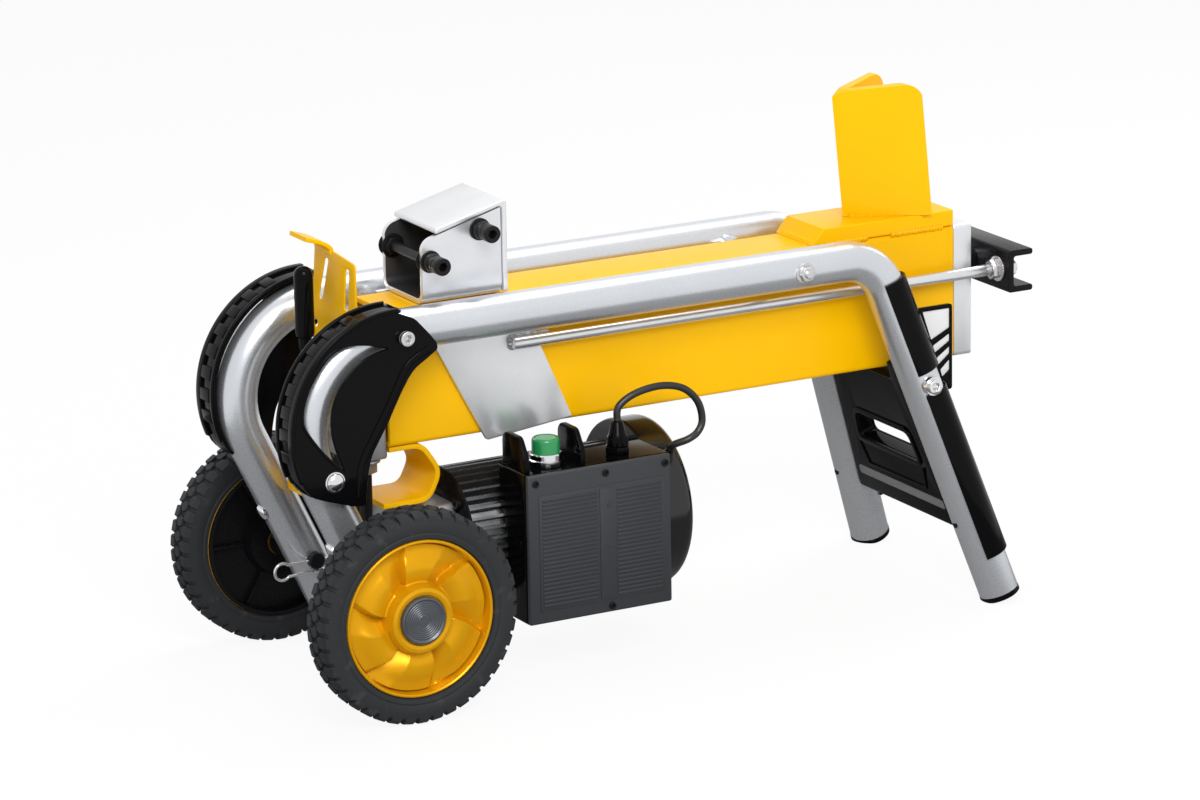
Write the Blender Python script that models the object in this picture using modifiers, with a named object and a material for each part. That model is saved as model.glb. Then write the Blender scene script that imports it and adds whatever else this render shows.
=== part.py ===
"""Electric log splitter: a box beam on bent rails, a fixed wedge, and a pusher that a ram draws to it.

Metres, +Z up, +X from the wheels to the wedge, -Y the side with the switch box.
Places along X are given from the front end of the beam; the origin is under the middle of the machine.
"""
import math

import bmesh
import bpy
from mathutils import Matrix, Vector

# Overall placing
MIDDLE_X = 0.2675
GAP = 0.0003
OVERRUN = 0.02
EDGE_ROUNDING = 0.0015
HOLE_REACH_Y = 0.15

# Beam, end plate and hydraulic cylinder
BEAM_LENGTH = 0.600
BEAM_HALF_WIDTH = 0.034
BEAM_BOTTOM = 0.219
BEAM_TOP = 0.347
BEAM_WALL = 0.005
BEAM_CORNER = 0.006
END_PLATE = 0.020
BARREL_RADIUS = 0.028
BORE_RADIUS = 0.020
PISTON_RADIUS = 0.0197
PISTON_ROD_RADIUS = 0.010
PISTON_X = (0.020, 0.045)

# Rails: one bent tube each side makes the front leg, the top rail and the rear leg
TUBE_RADIUS = 0.019
TUBE_RESOLUTION = 5
RAIL_Y = 0.072
RAIL_Z = 0.339
FRONT_ARC_X = -0.0165
FRONT_ARC_RADIUS = 0.085
FRONT_SLANT = math.radians(25.2)
FRONT_LEG_END_Z = 0.055
REAR_CORNER_X = 0.488
REAR_BEND_RADIUS = 0.045
REAR_FOOT = (0.601, 0.118)
REAR_TUBE_END_Z = 0.009
FOOT_CAP_RADIUS = 0.0194
FOOT_CAP_Z = (0.0036, 0.0087)
GROUND_CUT = 0.06

# Bolts along Y: where they pass and their thickness
RAIL_BOLT_X = {"front": -0.0155, "rear": 0.403}
BOLT_RADIUS = 0.004
BOLT_HEAD_RADIUS = 0.0075
BOLT_HEAD = 0.006
SPACER_RADIUS = 0.008
HOLE_EASE = 0.0003
LEG_BOLT_Z = 0.218
LEG_BOLT_INWARD = 0.010
LEG_BOLT_OUTWARD = 0.0014

# Front guards: a D-shaped side plate with a crescent window and a wall round the tube
GUARD_CENTRE = (-0.022, 0.259)
GUARD_RADIUS = 0.105
GUARD_ANGLES = (92.0, 206.0)
GUARD_EDGE = ((-0.110, 0.2055), (-0.097, 0.2004), (-0.070, 0.1916), (-0.0565, 0.1900), (-0.0571, 0.1993),
              (-0.0544, 0.2183), (-0.0504, 0.2345), (-0.0431, 0.2476), (-0.0329, 0.2642), (-0.0254, 0.2785),
              (-0.0137, 0.2987), (-0.0050, 0.3091), (0.0063, 0.3164), (0.0177, 0.3238), (0.0172, 0.3296),
              (0.0110, 0.3376), (-0.0040, 0.3545))
GUARD_Y = (0.0958, 0.0998)
GUARD_WALL_ANGLES = (90.0, 206.0)
GUARD_WALL_Y = (0.066, 0.097)
GUARD_WALL = 0.003
WINDOW = ((-0.0322, 0.3309), (-0.0514, 0.3362), (-0.0706, 0.3378), (-0.0878, 0.3316), (-0.1005, 0.3176),
          (-0.1095, 0.3030), (-0.1150, 0.2875), (-0.1150, 0.2730), (-0.1080, 0.2600), (-0.0958, 0.2440),
          (-0.0825, 0.2304), (-0.0784, 0.2258), (-0.0823, 0.2355), (-0.0867, 0.2491), (-0.0890, 0.2622),
          (-0.0892, 0.2752), (-0.0868, 0.2876), (-0.0802, 0.3007), (-0.0714, 0.3122), (-0.0601, 0.3221),
          (-0.0462, 0.3278))
GUARD_CUT_Y = (0.08, 0.12)

# Rear panel between the legs and the strips behind them
PANEL_Z = (0.069, 0.214)
PANEL_EAR_Z = 0.232
PANEL_EAR_Y = 0.046
PANEL_OPENING_Z = (0.130, 0.158)
PANEL_OPENING_HALF = 0.047
PANEL_OPENING_FLARE = 0.006
PANEL_THICKNESS = 0.016
PANEL_CLEAR = 0.0006
STRIP_Z = (0.046, 0.316)
STRIP_THICKNESS = 0.0025
STRIP_ANGLES = {-1: (-25, 135), 1: (45, 205)}
STRIP_STEPS = 16
STRIP_BOLT_CLEAR = 0.0105
WING_Y = (0.0755, 0.0795)
WING_Z = (0.202, 0.285)
WING_END_X = 0.570
# Each cell: height of its lower and upper edge at the leg, then at the free end.
WING_CELLS = ((0.2150, 0.2225, 0.2210, 0.2315), (0.2275, 0.2345, 0.2370, 0.2440),
              (0.2395, 0.2470, 0.2490, 0.2565), (0.2525, 0.2810, 0.2620, 0.2810))
WING_ROOT = 0.016
WING_CELL_ROOT = 0.030
WING_CELL_MARGIN = 0.003
WING_CUT_Y = (0.06, 0.085)

# Wheels on stub axles
AXLE_X = -0.037
WHEEL_RADIUS = 0.098
WHEEL_Y = 0.144
WHEEL_HALF = 0.019
AXLE_RADIUS = 0.008
AXLE_COLLAR_RADIUS = 0.013
AXLE_END = 0.001
TYRE_PROFILE = ((0.0735, 0.017), (0.091, 0.019), (0.096, 0.016), (WHEEL_RADIUS, 0.012))
RIM_FRONT = ((0.030, 0.019), (0.032, 0.008), (0.060, 0.006), (0.064, 0.016), (0.0732, 0.016))
RIM_BACK = ((0.0732, -0.016), (0.064, -0.016), (0.062, -0.004), (0.030, -0.006), (0.028, -0.019))
HUB_CAP = ((0.019, 0.024), (0.0225, 0.0215))
AXLE_INNER_Y = 0.0465
CLIP_Y = 0.0510
CLIP_WIRE = 0.0014
CLIP_HOLE_EASE = 0.0005
CLIP_RING = ((-0.034, -0.006), 0.008, 48, 318)
CLIP_STRAIGHT = ((0.026, 0.0), (-0.024, 0.0))
CLIP_SPRUNG = ((-0.020, -0.0108), (-0.010, -0.0098), (-0.004, -0.0112), (0.004, -0.0112), (0.010, -0.0098),
               (0.020, -0.0128))

# Ram: tie rods, crosshead, side plates and pusher
ROD_Z = 0.302
ROD_RADIUS = 0.0055
ROD_X = (0.121, 0.662)
PLATE_Y = (0.0346, 0.0396)
ROD_Y = PLATE_Y[1] + GAP + ROD_RADIUS
NUT_RADIUS = 0.0095
NUT_HEIGHT = 0.0094
CROSS_X = (0.643, 0.670)
CROSS_HALF_HEIGHT = 0.0205
CROSS_HALF_WIDTH = 0.064
CROSS_WALL = 0.006
SIDE_PLATE = ((0.0244, 0.3472), (0.0958, 0.2137), (0.184, 0.2232), (0.130, 0.3472))
PUSHER_X = (0.034, 0.1147)
PUSHER_FACE = 0.005
PUSHER_FLOOR_Z = 0.3476
PUSHER_WALL = 0.005
PUSHER_TOP_Z = (0.4120, 0.4305)
PUSHER_TOP_FRONT_X = 0.0475
PUSHER_TOP_HALF = 0.041
PUSHER_CORNER = 0.012
PUSHER_FACE_LIFT = 0.003
PUSHER_SPARE = 0.05
PUSHER_BEND = (0.3, 0.8)
PUSHER_BOLT_RADIUS = 0.005
PUSHER_BOLT_HEAD = 0.0085
PUSHER_BOLT_HEAD_LENGTH = 0.026
PUSHER_BOLT_OUT = 0.008
PUSHER_BOLTS = {"low": (0.042, 0.388), "high": (0.0925, 0.4115)}

# Wedge and its saddle
SADDLE_X = (0.445, 0.600)
SADDLE_Z = (0.3473, 0.3622)
SADDLE_CHAMFER = 0.012
WEDGE_EDGE_X = 0.498
WEDGE_BACK_X = 0.573
WEDGE_HALF_WIDTH = 0.040
WEDGE_PLATE = 0.009
WEDGE_CROWN = ((0.450, 0.4622), (0.4865, 0.4785), (0.500, 0.4845), (0.547, 0.489))
WEDGE_CROWN_RADIUS = 0.016
WEDGE_STOCK_Z = 0.500
WEDGE_RAKE = 0.0944

# Valve block, lever and lever guard
BLOCK_X = (-0.036, -0.0003)
BLOCK_HALF_WIDTH = 0.030
BLOCK_Z = (0.208, 0.340)
BLOCK_ROUNDING = 0.003
LEVER_PIVOT = (-0.030, 0.298)
LEVER_X = -0.065
LEVER_TOP_Z = 0.390
LEVER_RADIUS = 0.006
LEVER_BEND = 0.020
LEVER_TAIL = 0.008
LEVER_SLOT = (0.0075, 0.0125, 0.012)
GRIP_STEPS = (0.066, 0.064, 0.004, 0.0)
GRIP_RADIUS = 0.0088
GRIP_END = 0.8
LEVER_PIN_RADIUS = 0.003
LEVER_GUARD_X = (-0.0403, -0.0363)
LEVER_GUARD = ((0.042, 0.312), (-0.030, 0.312), (-0.030, 0.336), (-0.052, 0.356), (-0.052, 0.398),
               (0.028, 0.405))
LEVER_GUARD_SLOTS = ((0.016, 0.345, 0.388), (-0.040, 0.349, 0.388))
SLOT_HALF_WIDTH = 0.0035
LIP_OUTLINE = ((-0.0373, 0.398), (-0.0373, 0.4035), (-0.064, 0.417), (-0.064, 0.413))
LIP_Y = (-0.006, 0.0275)

# Motor, pump and what carries them
MOTOR_Y = -0.008
MOTOR_Z = 0.122
MOTOR_X = (0.0663, 0.250)
MOTOR_CORE_RADIUS = 0.054
MOTOR_FIN_RADIUS = 0.062
MOTOR_FINS = 24
FIN_SHARES = ((0.0, True), (0.3, True), (0.38, False), (0.92, False))
FLANGE_RADIUS = 0.064
STATOR_RADIUS = 0.036
ROTOR_RADIUS = 0.034
SHAFT_RADIUS = 0.008
SHAFT_EASE = 0.0005
SHAFT_X = (0.012, 0.279)
ROTOR_X = (0.090, 0.222)
FAN_RADIUS = 0.066
FAN_X = (0.260, 0.272)
FAN_COVER_RADIUS = 0.080
FAN_COVER_X = (0.2503, 0.287)
FAN_COVER_NECK = 0.050
FAN_COVER_EYE = 0.012
FAN_SLOTS = 3
FAN_SLOT_HALF = (0.006, 0.060, 0.0035)
SHEET = 0.0025
FAN_COVER_EDGE = ((0.008, 0.0), (0.002, 0.003), (0.0, 0.009))
FAN_COVER_INSIDE = ((SHEET, 0.010), (0.009, SHEET))
PUMP_X = (0.002, 0.062)
PUMP_HALF_WIDTH = 0.036
PUMP_Z = (0.084, 0.161)
PUMP_ROUNDING = 0.005
PUMP_SHAFT_END = 0.002
BRACKET_PATH = ((0.001, 0.2162), (0.034, 0.2162), (0.052, 0.189), (0.040, 0.1640), (-0.006, 0.1640))
BRACKET_SHEET = 0.005
BRACKET_HALF_WIDTH = 0.030
CROSS_PLATE_X = (-0.062, -0.056)
CROSS_PLATE_Z = (0.169, 0.190)
CROSS_PLATE_HALF = 0.0542
PIPE_RADIUS = 0.006
PIPE_ROUTE = ((-0.018, 0.1950), (-0.018, 0.170), (-0.018, 0.146), (-0.012, 0.130), (-0.005, 0.1265),
              (0.0008, 0.1265))
PIPE_Y = -0.018
FITTING_RADIUS = 0.011

# Switch box, button and the lead to the motor
BOX_X = (0.098, 0.246)
BOX_Y = (-0.106, -0.056)
BOX_Z = (0.055, 0.196)
BOX_WALL = 0.004
BOX_BACK_Y = -0.076
BOX_ROUNDING = 0.003
COVER_THICKNESS = 0.0065
COVER_ROUNDING = 0.0025
FIN_X = ((0.100, 0.105), (0.157, 0.162))
FIN_TOP_Z = 0.228
FIN_INSET = (0.002, 0.004, 0.003)
BUTTON_AT = (0.132, -0.084)
BUTTON_RADIUS = 0.013
BUTTON_EASE = 0.0004
BUTTON_TRAVEL = 0.010
BUTTON_Z = (0.190, 0.222)
BUTTON_EDGE = ((0.7, 0.0006), (0.94, 0.002), (1.0, 0.004))
COLLAR_RADIUS = 0.0165
COLLAR_ROUNDING = 0.001
COLLAR_TOP_Z = 0.208
GLAND_AT = (0.206, -0.084)
GLAND_RADIUS = 0.011
GLAND_TOP_Z = 0.226
GLAND_EDGE = ((0.5, 0.0), (0.7, 0.010), (1.0, 0.013))
LEAD_RADIUS = 0.0034
LEAD_END_X = 0.266
LEAD_END_ANGLE = math.radians(136.0)
LEAD_GLAND = 0.0145
LEAD_GLAND_SINK = 0.0015
LEAD_APPROACH = (0.009, 0.001)
LEAD_ROUTE = (
    (0.206, -0.084, 0.2263),
    (0.208, -0.084, 0.239),
    (0.224, -0.085, 0.249),
    (0.250, -0.086, 0.253),
    (0.273, -0.087, 0.248),
    (0.288, -0.088, 0.234),
    (0.293, -0.088, 0.216),
    (0.288, -0.089, 0.205),
    (0.277, -0.090, 0.1995),
)

# Start from an empty scene with one collection for the pieces and one for the cutters
for old in list(bpy.data.objects):
    bpy.data.objects.remove(old, do_unlink=True)
parts = bpy.data.collections.new("log_splitter")
cutters = bpy.data.collections.new("log_splitter_cutters")
bpy.context.scene.collection.children.link(parts)
bpy.context.scene.collection.children.link(cutters)

SIDES = {"near": -1.0, "far": 1.0}


def material(name, colour, roughness, metallic=0.0):
    """A Principled material of one plain colour."""
    made = bpy.data.materials.new(name)
    made.use_nodes = True
    shader = made.node_tree.nodes["Principled BSDF"]
    shader.inputs["Base Color"].default_value = (*colour, 1.0)
    shader.inputs["Roughness"].default_value = roughness
    shader.inputs["Metallic"].default_value = metallic
    return made


YELLOW = material("yellow_paint", (0.85, 0.46, 0.01), 0.28)
SILVER = material("silver_tube_paint", (0.52, 0.54, 0.57), 0.30, 0.6)
ZINC = material("zinc_steel", (0.62, 0.63, 0.65), 0.32, 0.9)
BLACK_PLASTIC = material("gloss_black_plastic", (0.012, 0.012, 0.013), 0.18)
BLACK_PAINT = material("black_paint", (0.02, 0.02, 0.022), 0.35)
ANTHRACITE = material("anthracite_plastic", (0.03, 0.031, 0.033), 0.55)
RUBBER = material("tyre_rubber", (0.025, 0.025, 0.027), 0.75)
RIM_YELLOW = material("rim_yellow_plastic", (0.78, 0.42, 0.01), 0.38)
CAP_GREY = material("hub_cap_grey", (0.12, 0.13, 0.15), 0.35, 0.4)
GREEN = material("button_green", (0.03, 0.35, 0.12), 0.35)
CHROME = material("chrome", (0.75, 0.75, 0.76), 0.12, 1.0)
DARK_STEEL = material("black_oxide_steel", (0.03, 0.03, 0.032), 0.4, 0.8)
PVC = material("lead_pvc", (0.015, 0.015, 0.016), 0.45)


def shifted(point):
    """A place from the front end of the beam, in the machine's own frame."""
    return Vector((point[0] - MIDDLE_X, point[1], point[2]))


def place(name, data, point, mat, turn=None):
    """A named object with its origin at a point, turned by a rotation matrix."""
    made = bpy.data.objects.new(name, data)
    made.location = shifted(point)
    if turn is not None:
        made.rotation_euler = turn.to_euler()
    data.materials.append(mat)
    parts.objects.link(made)
    return made


def to_mesh(bm, name, smooth=False):
    """A mesh from a bmesh, shaded smooth apart from its sharp edges where asked."""
    mesh = bpy.data.meshes.new(name)
    bm.to_mesh(mesh)
    bm.free()
    if smooth:
        mesh.shade_smooth()
        mesh.set_sharp_from_angle(angle=math.radians(40))
    return mesh


def facing(direction):
    """The rotation that points an object's own Z axis along a direction."""
    return Vector((0, 0, 1)).rotation_difference(Vector(direction)).to_matrix()


def rounded(target, width, segments=2):
    """Round an object's edges."""
    bevel = target.modifiers.new("Rounding", "BEVEL")
    bevel.width = width
    bevel.segments = segments
    bevel.limit_method = "ANGLE"
    bevel.angle_limit = math.radians(50)
    return target


def box(name, low, high, mat, rounding=0.0, axes=None):
    """A box between two corners, or round their middle along given axes."""
    size = Vector(high) - Vector(low)
    bm = bmesh.new()
    bmesh.ops.create_cube(bm, size=1.0)
    bmesh.ops.scale(bm, vec=size, verts=bm.verts)
    made = place(name, to_mesh(bm, name), (Vector(low) + Vector(high)) / 2, mat, axes)
    if rounding:
        rounded(made, rounding)
    return made


def rod(name, start, end, radius, mat, sides=20):
    """A round bar between two points, or a hexagonal one with six sides."""
    run = Vector(end) - Vector(start)
    bm = bmesh.new()
    bmesh.ops.create_cone(bm, cap_ends=True, segments=sides, radius1=radius, radius2=radius, depth=run.length)
    return place(name, to_mesh(bm, name, sides > 6), (Vector(start) + Vector(end)) / 2, mat, facing(run))


def turned(name, profile, point, axis, mat, steps=32, closed=False):
    """A turned piece: a profile of radius and height, run down its outer side, spun about an axis."""
    count = len(profile)
    edges = [(i, i + 1) for i in range(count - 1)]
    if closed:
        edges.append((count - 1, 0))
    mesh = bpy.data.meshes.new(name)
    mesh.from_pydata([(radius, 0.0, height) for radius, height in profile], edges, [])
    made = place(name, mesh, point, mat, facing(axis))
    screw = made.modifiers.new("Turning", "SCREW")
    screw.axis = "Z"
    screw.steps = steps
    screw.render_steps = steps
    screw.use_merge_vertices = True
    screw.merge_threshold = 0.00001
    screw.use_smooth_shade = True
    return made


def as_solid(made):
    """A curve object made into a mesh with its caps joined on."""
    seen = made.evaluated_get(bpy.context.evaluated_depsgraph_get())
    mesh = bpy.data.meshes.new_from_object(seen)
    bm = bmesh.new()
    bm.from_mesh(mesh)
    bmesh.ops.remove_doubles(bm, verts=bm.verts, dist=0.000005)
    bmesh.ops.recalc_face_normals(bm, faces=bm.faces)
    bm.to_mesh(mesh)
    bm.free()
    name = made.name
    curve = made.data
    solid = bpy.data.objects.new(name + "_solid", mesh)
    solid.matrix_world = seen.matrix_world.copy()
    bpy.data.objects.remove(made, do_unlink=True)
    bpy.data.curves.remove(curve)
    solid.name = name
    parts.objects.link(solid)
    return solid


def plate(name, outline, thickness, point, axes, mat):
    """A flat outline in the plane of the first two axes, as thick each way from it."""
    curve = bpy.data.curves.new(name, "CURVE")
    curve.dimensions = "2D"
    curve.fill_mode = "BOTH"
    curve.extrude = thickness / 2
    spline = curve.splines.new("POLY")
    spline.points.add(len(outline) - 1)
    for corner, (across, upward) in zip(spline.points, outline):
        corner.co = (across, upward, 0.0, 1.0)
    spline.use_cyclic_u = True
    return as_solid(place(name, curve, point, mat, axes))


def side_view(name, outline, low_y, high_y, mat):
    """A plate drawn in X and Z and running across the machine from one Y to another."""
    axes = Matrix(((1, 0, 0), (0, 0, -1), (0, 1, 0)))
    return plate(name, outline, high_y - low_y, (0.0, (low_y + high_y) / 2, 0.0), axes, mat)


def end_view(name, outline, low_x, high_x, mat):
    """A plate drawn in Y and Z and running along the machine from one X to another."""
    axes = Matrix(((0, 0, 1), (1, 0, 0), (0, 1, 0)))
    return plate(name, outline, high_x - low_x, ((low_x + high_x) / 2, 0.0, 0.0), axes, mat)


def tube(name, route, radius, mat, resolution, radii=None):
    """A bent bar along a route, with its own radius at each point where given."""
    curve = bpy.data.curves.new(name, "CURVE")
    curve.dimensions = "3D"
    curve.bevel_depth = radius
    curve.bevel_resolution = resolution
    curve.use_fill_caps = True
    spline = curve.splines.new("POLY")
    spline.points.add(len(route) - 1)
    for index, point in enumerate(route):
        spline.points[index].co = (*point, 1.0)
        spline.points[index].radius = radii[index] / radius if radii else 1.0
    spline.use_smooth = True
    return as_solid(place(name, curve, (0.0, 0.0, 0.0), mat))


def smooth_route(points, steps):
    """Points along a smooth curve through the given ones."""
    ends = [Vector(p) for p in points]
    ends = [2 * ends[0] - ends[1]] + ends + [2 * ends[-1] - ends[-2]]
    route = []
    for a, b, c, d in zip(ends, ends[1:], ends[2:], ends[3:]):
        for step in range(steps):
            t = step / steps
            route.append(0.5 * (2 * b + (c - a) * t + (2 * a - 5 * b + 4 * c - d) * t * t
                                + (3 * b - a - 3 * c + d) * t ** 3))
    route.append(ends[-2])
    return route


def combine(target, tool, operation):
    """Cut a tool out of a piece, or join it on, and put the tool away with the cutters."""
    change = target.modifiers.new(operation.title(), "BOOLEAN")
    change.operation = operation
    change.object = tool
    change.solver = "EXACT"
    parts.objects.unlink(tool)
    cutters.objects.link(tool)
    tool.hide_render = True
    tool.display_type = "WIRE"
    return target


def cut(target, tool):
    """Take a tool's shape out of a piece."""
    return combine(target, tool, "DIFFERENCE")


def join(target, tool):
    """Make a tool's shape part of a piece."""
    return combine(target, tool, "UNION")


def arc(centre, radius, first, last, steps):
    """Points of an arc between two angles in degrees."""
    angles = [math.radians(first + (last - first) * i / steps) for i in range(steps + 1)]
    return [(centre[0] + radius * math.cos(a), centre[1] + radius * math.sin(a)) for a in angles]


def rear_leg_y(z):
    """How far out the rear leg's middle line is at a height."""
    return RAIL_Y + (REAR_FOOT[1] - RAIL_Y) * (RAIL_Z - z) / RAIL_Z


def rear_leg_x(z):
    """How far back the rear leg's middle line is at a height."""
    return REAR_CORNER_X + (REAR_FOOT[0] - REAR_CORNER_X) * (RAIL_Z - z) / RAIL_Z


def rear_leg(side, z):
    """A point on a rear leg's middle line."""
    return Vector((rear_leg_x(z), side * rear_leg_y(z), z))


def front_leg_x(z):
    """How far along a front leg's middle line is at a height below its arc."""
    angle = math.pi + FRONT_SLANT
    drop = RAIL_Z - FRONT_ARC_RADIUS + FRONT_ARC_RADIUS * math.sin(angle) - z
    return FRONT_ARC_X + FRONT_ARC_RADIUS * math.cos(angle) + drop * math.tan(FRONT_SLANT)


def rail_route(side):
    """The middle line of a rail, from the end of the front leg to the end of the rear leg."""
    route = [Vector((front_leg_x(FRONT_LEG_END_Z), side * RAIL_Y, FRONT_LEG_END_Z))]
    centre = (FRONT_ARC_X, RAIL_Z - FRONT_ARC_RADIUS)
    for x, z in arc(centre, FRONT_ARC_RADIUS, 180 + math.degrees(FRONT_SLANT), 90, 10):
        route.append(Vector((x, side * RAIL_Y, z)))
    along = Vector((1, 0, 0))
    corner = rear_leg(side, RAIL_Z)
    down = (rear_leg(side, 0.0) - corner).normalized()
    turn = along.angle(down)
    middle = corner + (down - along).normalized() * REAR_BEND_RADIUS / math.cos(turn / 2)
    start = corner - along * REAR_BEND_RADIUS * math.tan(turn / 2)
    for step in range(7):
        swing = Matrix.Rotation(turn * step / 6, 3, along.cross(down))
        route.append(middle + swing @ (start - middle))
    route.append(rear_leg(side, REAR_TUBE_END_Z))
    return route


def make_beam():
    """The hollow beam, its thick end plate and the cylinder inside it."""
    inner = BEAM_HALF_WIDTH - BEAM_WALL
    half = BEAM_HALF_WIDTH
    beam = box("main_beam", (0, -half, BEAM_BOTTOM), (BEAM_LENGTH, half, BEAM_TOP), YELLOW)
    weight = beam.data.attributes.new("bevel_weight_edge", "FLOAT", "EDGE")
    for edge in beam.data.edges:
        ends = [beam.data.vertices[i].co.x for i in edge.vertices]
        weight.data[edge.index].value = 1.0 if abs(ends[0] - ends[1]) > BEAM_LENGTH / 2 else 0.0
    rounded(beam, BEAM_CORNER, 3).modifiers["Rounding"].limit_method = "WEIGHT"
    cut(beam, box("beam_hollow", (-OVERRUN, -inner, BEAM_BOTTOM + BEAM_WALL),
                  (BEAM_LENGTH + OVERRUN, inner, BEAM_TOP - BEAM_WALL), YELLOW))
    back = BEAM_LENGTH + GAP
    end = box("beam_end_plate", (back, -half, BEAM_BOTTOM), (back + END_PLATE, half, BEAM_TOP), ZINC,
              EDGE_ROUNDING)
    cut(end, rod("rod_hole", (back - OVERRUN, 0, ROD_Z), (back + END_PLATE + OVERRUN, 0, ROD_Z),
                 PISTON_ROD_RADIUS + HOLE_EASE, ZINC, 24))
    length = BEAM_LENGTH - 2 * GAP
    profile = [(BORE_RADIUS, length), (BARREL_RADIUS, length), (BARREL_RADIUS, 0), (BORE_RADIUS, 0)]
    turned("cylinder_barrel", profile, (GAP, 0, ROD_Z), (1, 0, 0), DARK_STEEL, 32, True)


def make_wedge():
    """The saddle on the beam and the raked V-shaped wedge on it."""
    x0, x1 = SADDLE_X
    z0, z1 = SADDLE_Z
    outline = [(x0, z0), (x1, z0), (x1, z1), (x0 + SADDLE_CHAMFER, z1)]
    side_view("wedge_saddle", outline, -BEAM_HALF_WIDTH, BEAM_HALF_WIDTH, YELLOW)
    run = WEDGE_BACK_X - WEDGE_EDGE_X
    slope = WEDGE_HALF_WIDTH / run
    inner_edge = WEDGE_EDGE_X + WEDGE_PLATE / math.sin(math.atan(slope))
    inner_half = (WEDGE_BACK_X - inner_edge) * slope
    outline = [(WEDGE_BACK_X, -WEDGE_HALF_WIDTH), (WEDGE_BACK_X, -inner_half), (inner_edge, 0),
               (WEDGE_BACK_X, inner_half), (WEDGE_BACK_X, WEDGE_HALF_WIDTH), (WEDGE_EDGE_X, 0)]
    height = WEDGE_STOCK_Z - z1 - GAP
    middle = (0, 0, z1 + GAP + height / 2)
    wedge = plate("splitting_wedge", outline, height, middle, Matrix.Identity(3), YELLOW)
    rake = Matrix.Identity(4)
    rake[0][2] = -WEDGE_RAKE
    rake[0][3] = -WEDGE_RAKE * height / 2
    wedge.data.transform(rake)
    x, z = WEDGE_CROWN[-1]
    crown = list(WEDGE_CROWN[:-1]) + arc((x, z - WEDGE_CROWN_RADIUS), WEDGE_CROWN_RADIUS, 90, 0, 5)
    clear = Vector((WEDGE_BACK_X, WEDGE_HALF_WIDTH, WEDGE_STOCK_Z)) + Vector((OVERRUN, OVERRUN, OVERRUN))
    crown += [(clear.x, crown[-1][1]), (clear.x, clear.z), (crown[0][0], clear.z)]
    cut(wedge, side_view("wedge_crown", crown, -clear.y, clear.y, YELLOW))


def make_rail(label, side):
    """One bent tube with the holes for its bolts and its axle, and the plug in its rear foot."""
    rail = tube(label + "_rail", rail_route(side), TUBE_RADIUS, SILVER, TUBE_RESOLUTION)
    reach = side * HOLE_REACH_Y
    bolt = BOLT_RADIUS + HOLE_EASE
    for end, x in RAIL_BOLT_X.items():
        cut(rail, rod(f"{label}_{end}_rail_hole", (x, 0, RAIL_Z), (x, reach, RAIL_Z), bolt, ZINC, 12))
    x = rear_leg_x(LEG_BOLT_Z)
    cut(rail, rod(label + "_leg_hole", (x, 0, LEG_BOLT_Z), (x, reach, LEG_BOLT_Z), bolt, ZINC, 12))
    cut(rail, rod(label + "_axle_hole", (AXLE_X, 0, WHEEL_RADIUS), (AXLE_X, reach, WHEEL_RADIUS),
                  AXLE_RADIUS + HOLE_EASE, ZINC, 20))
    low, high = FOOT_CAP_Z
    cap = rod(label + "_foot_cap", rear_leg(side, high), rear_leg(side, low), FOOT_CAP_RADIUS, BLACK_PLASTIC, 24)
    foot = rear_leg(side, 0.0)
    spread = Vector((GROUND_CUT, GROUND_CUT, 0.0))
    cut(cap, box(label + "_ground", foot - spread - Vector((0, 0, GROUND_CUT)), foot + spread, ZINC))


def make_rail_bolts(label, side):
    """The bolts that hold a rail to the beam and the rear panel, each with its head and spacer."""
    inner_ends = {"front": BLOCK_HALF_WIDTH, "rear": BEAM_HALF_WIDTH}
    outer_ends = {"front": GUARD_Y[1], "rear": RAIL_Y + TUBE_RADIUS}
    for end, x in RAIL_BOLT_X.items():
        inner = inner_ends[end] + GAP
        outer = outer_ends[end] + GAP
        spacer = RAIL_Y - TUBE_RADIUS - GAP
        profile = [(0, outer + BOLT_HEAD), (BOLT_HEAD_RADIUS, outer + BOLT_HEAD), (BOLT_HEAD_RADIUS, outer),
                   (BOLT_RADIUS, outer), (BOLT_RADIUS, spacer), (SPACER_RADIUS, spacer), (SPACER_RADIUS, inner),
                   (0, inner)]
        turned(f"{label}_{end}_rail_bolt", profile, (x, 0, RAIL_Z), (0, side, 0), ZINC, 16)
    inner = rear_leg_y(LEG_BOLT_Z) - TUBE_RADIUS - LEG_BOLT_INWARD
    outer = rear_leg_y(LEG_BOLT_Z) + TUBE_RADIUS + LEG_BOLT_OUTWARD
    profile = [(0, outer + BOLT_HEAD), (BOLT_HEAD_RADIUS, outer + BOLT_HEAD), (BOLT_HEAD_RADIUS, outer),
               (BOLT_RADIUS, outer), (BOLT_RADIUS, inner), (0, inner)]
    turned(label + "_leg_bolt", profile, (rear_leg_x(LEG_BOLT_Z), 0, LEG_BOLT_Z), (0, side, 0), ZINC, 16)


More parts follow.
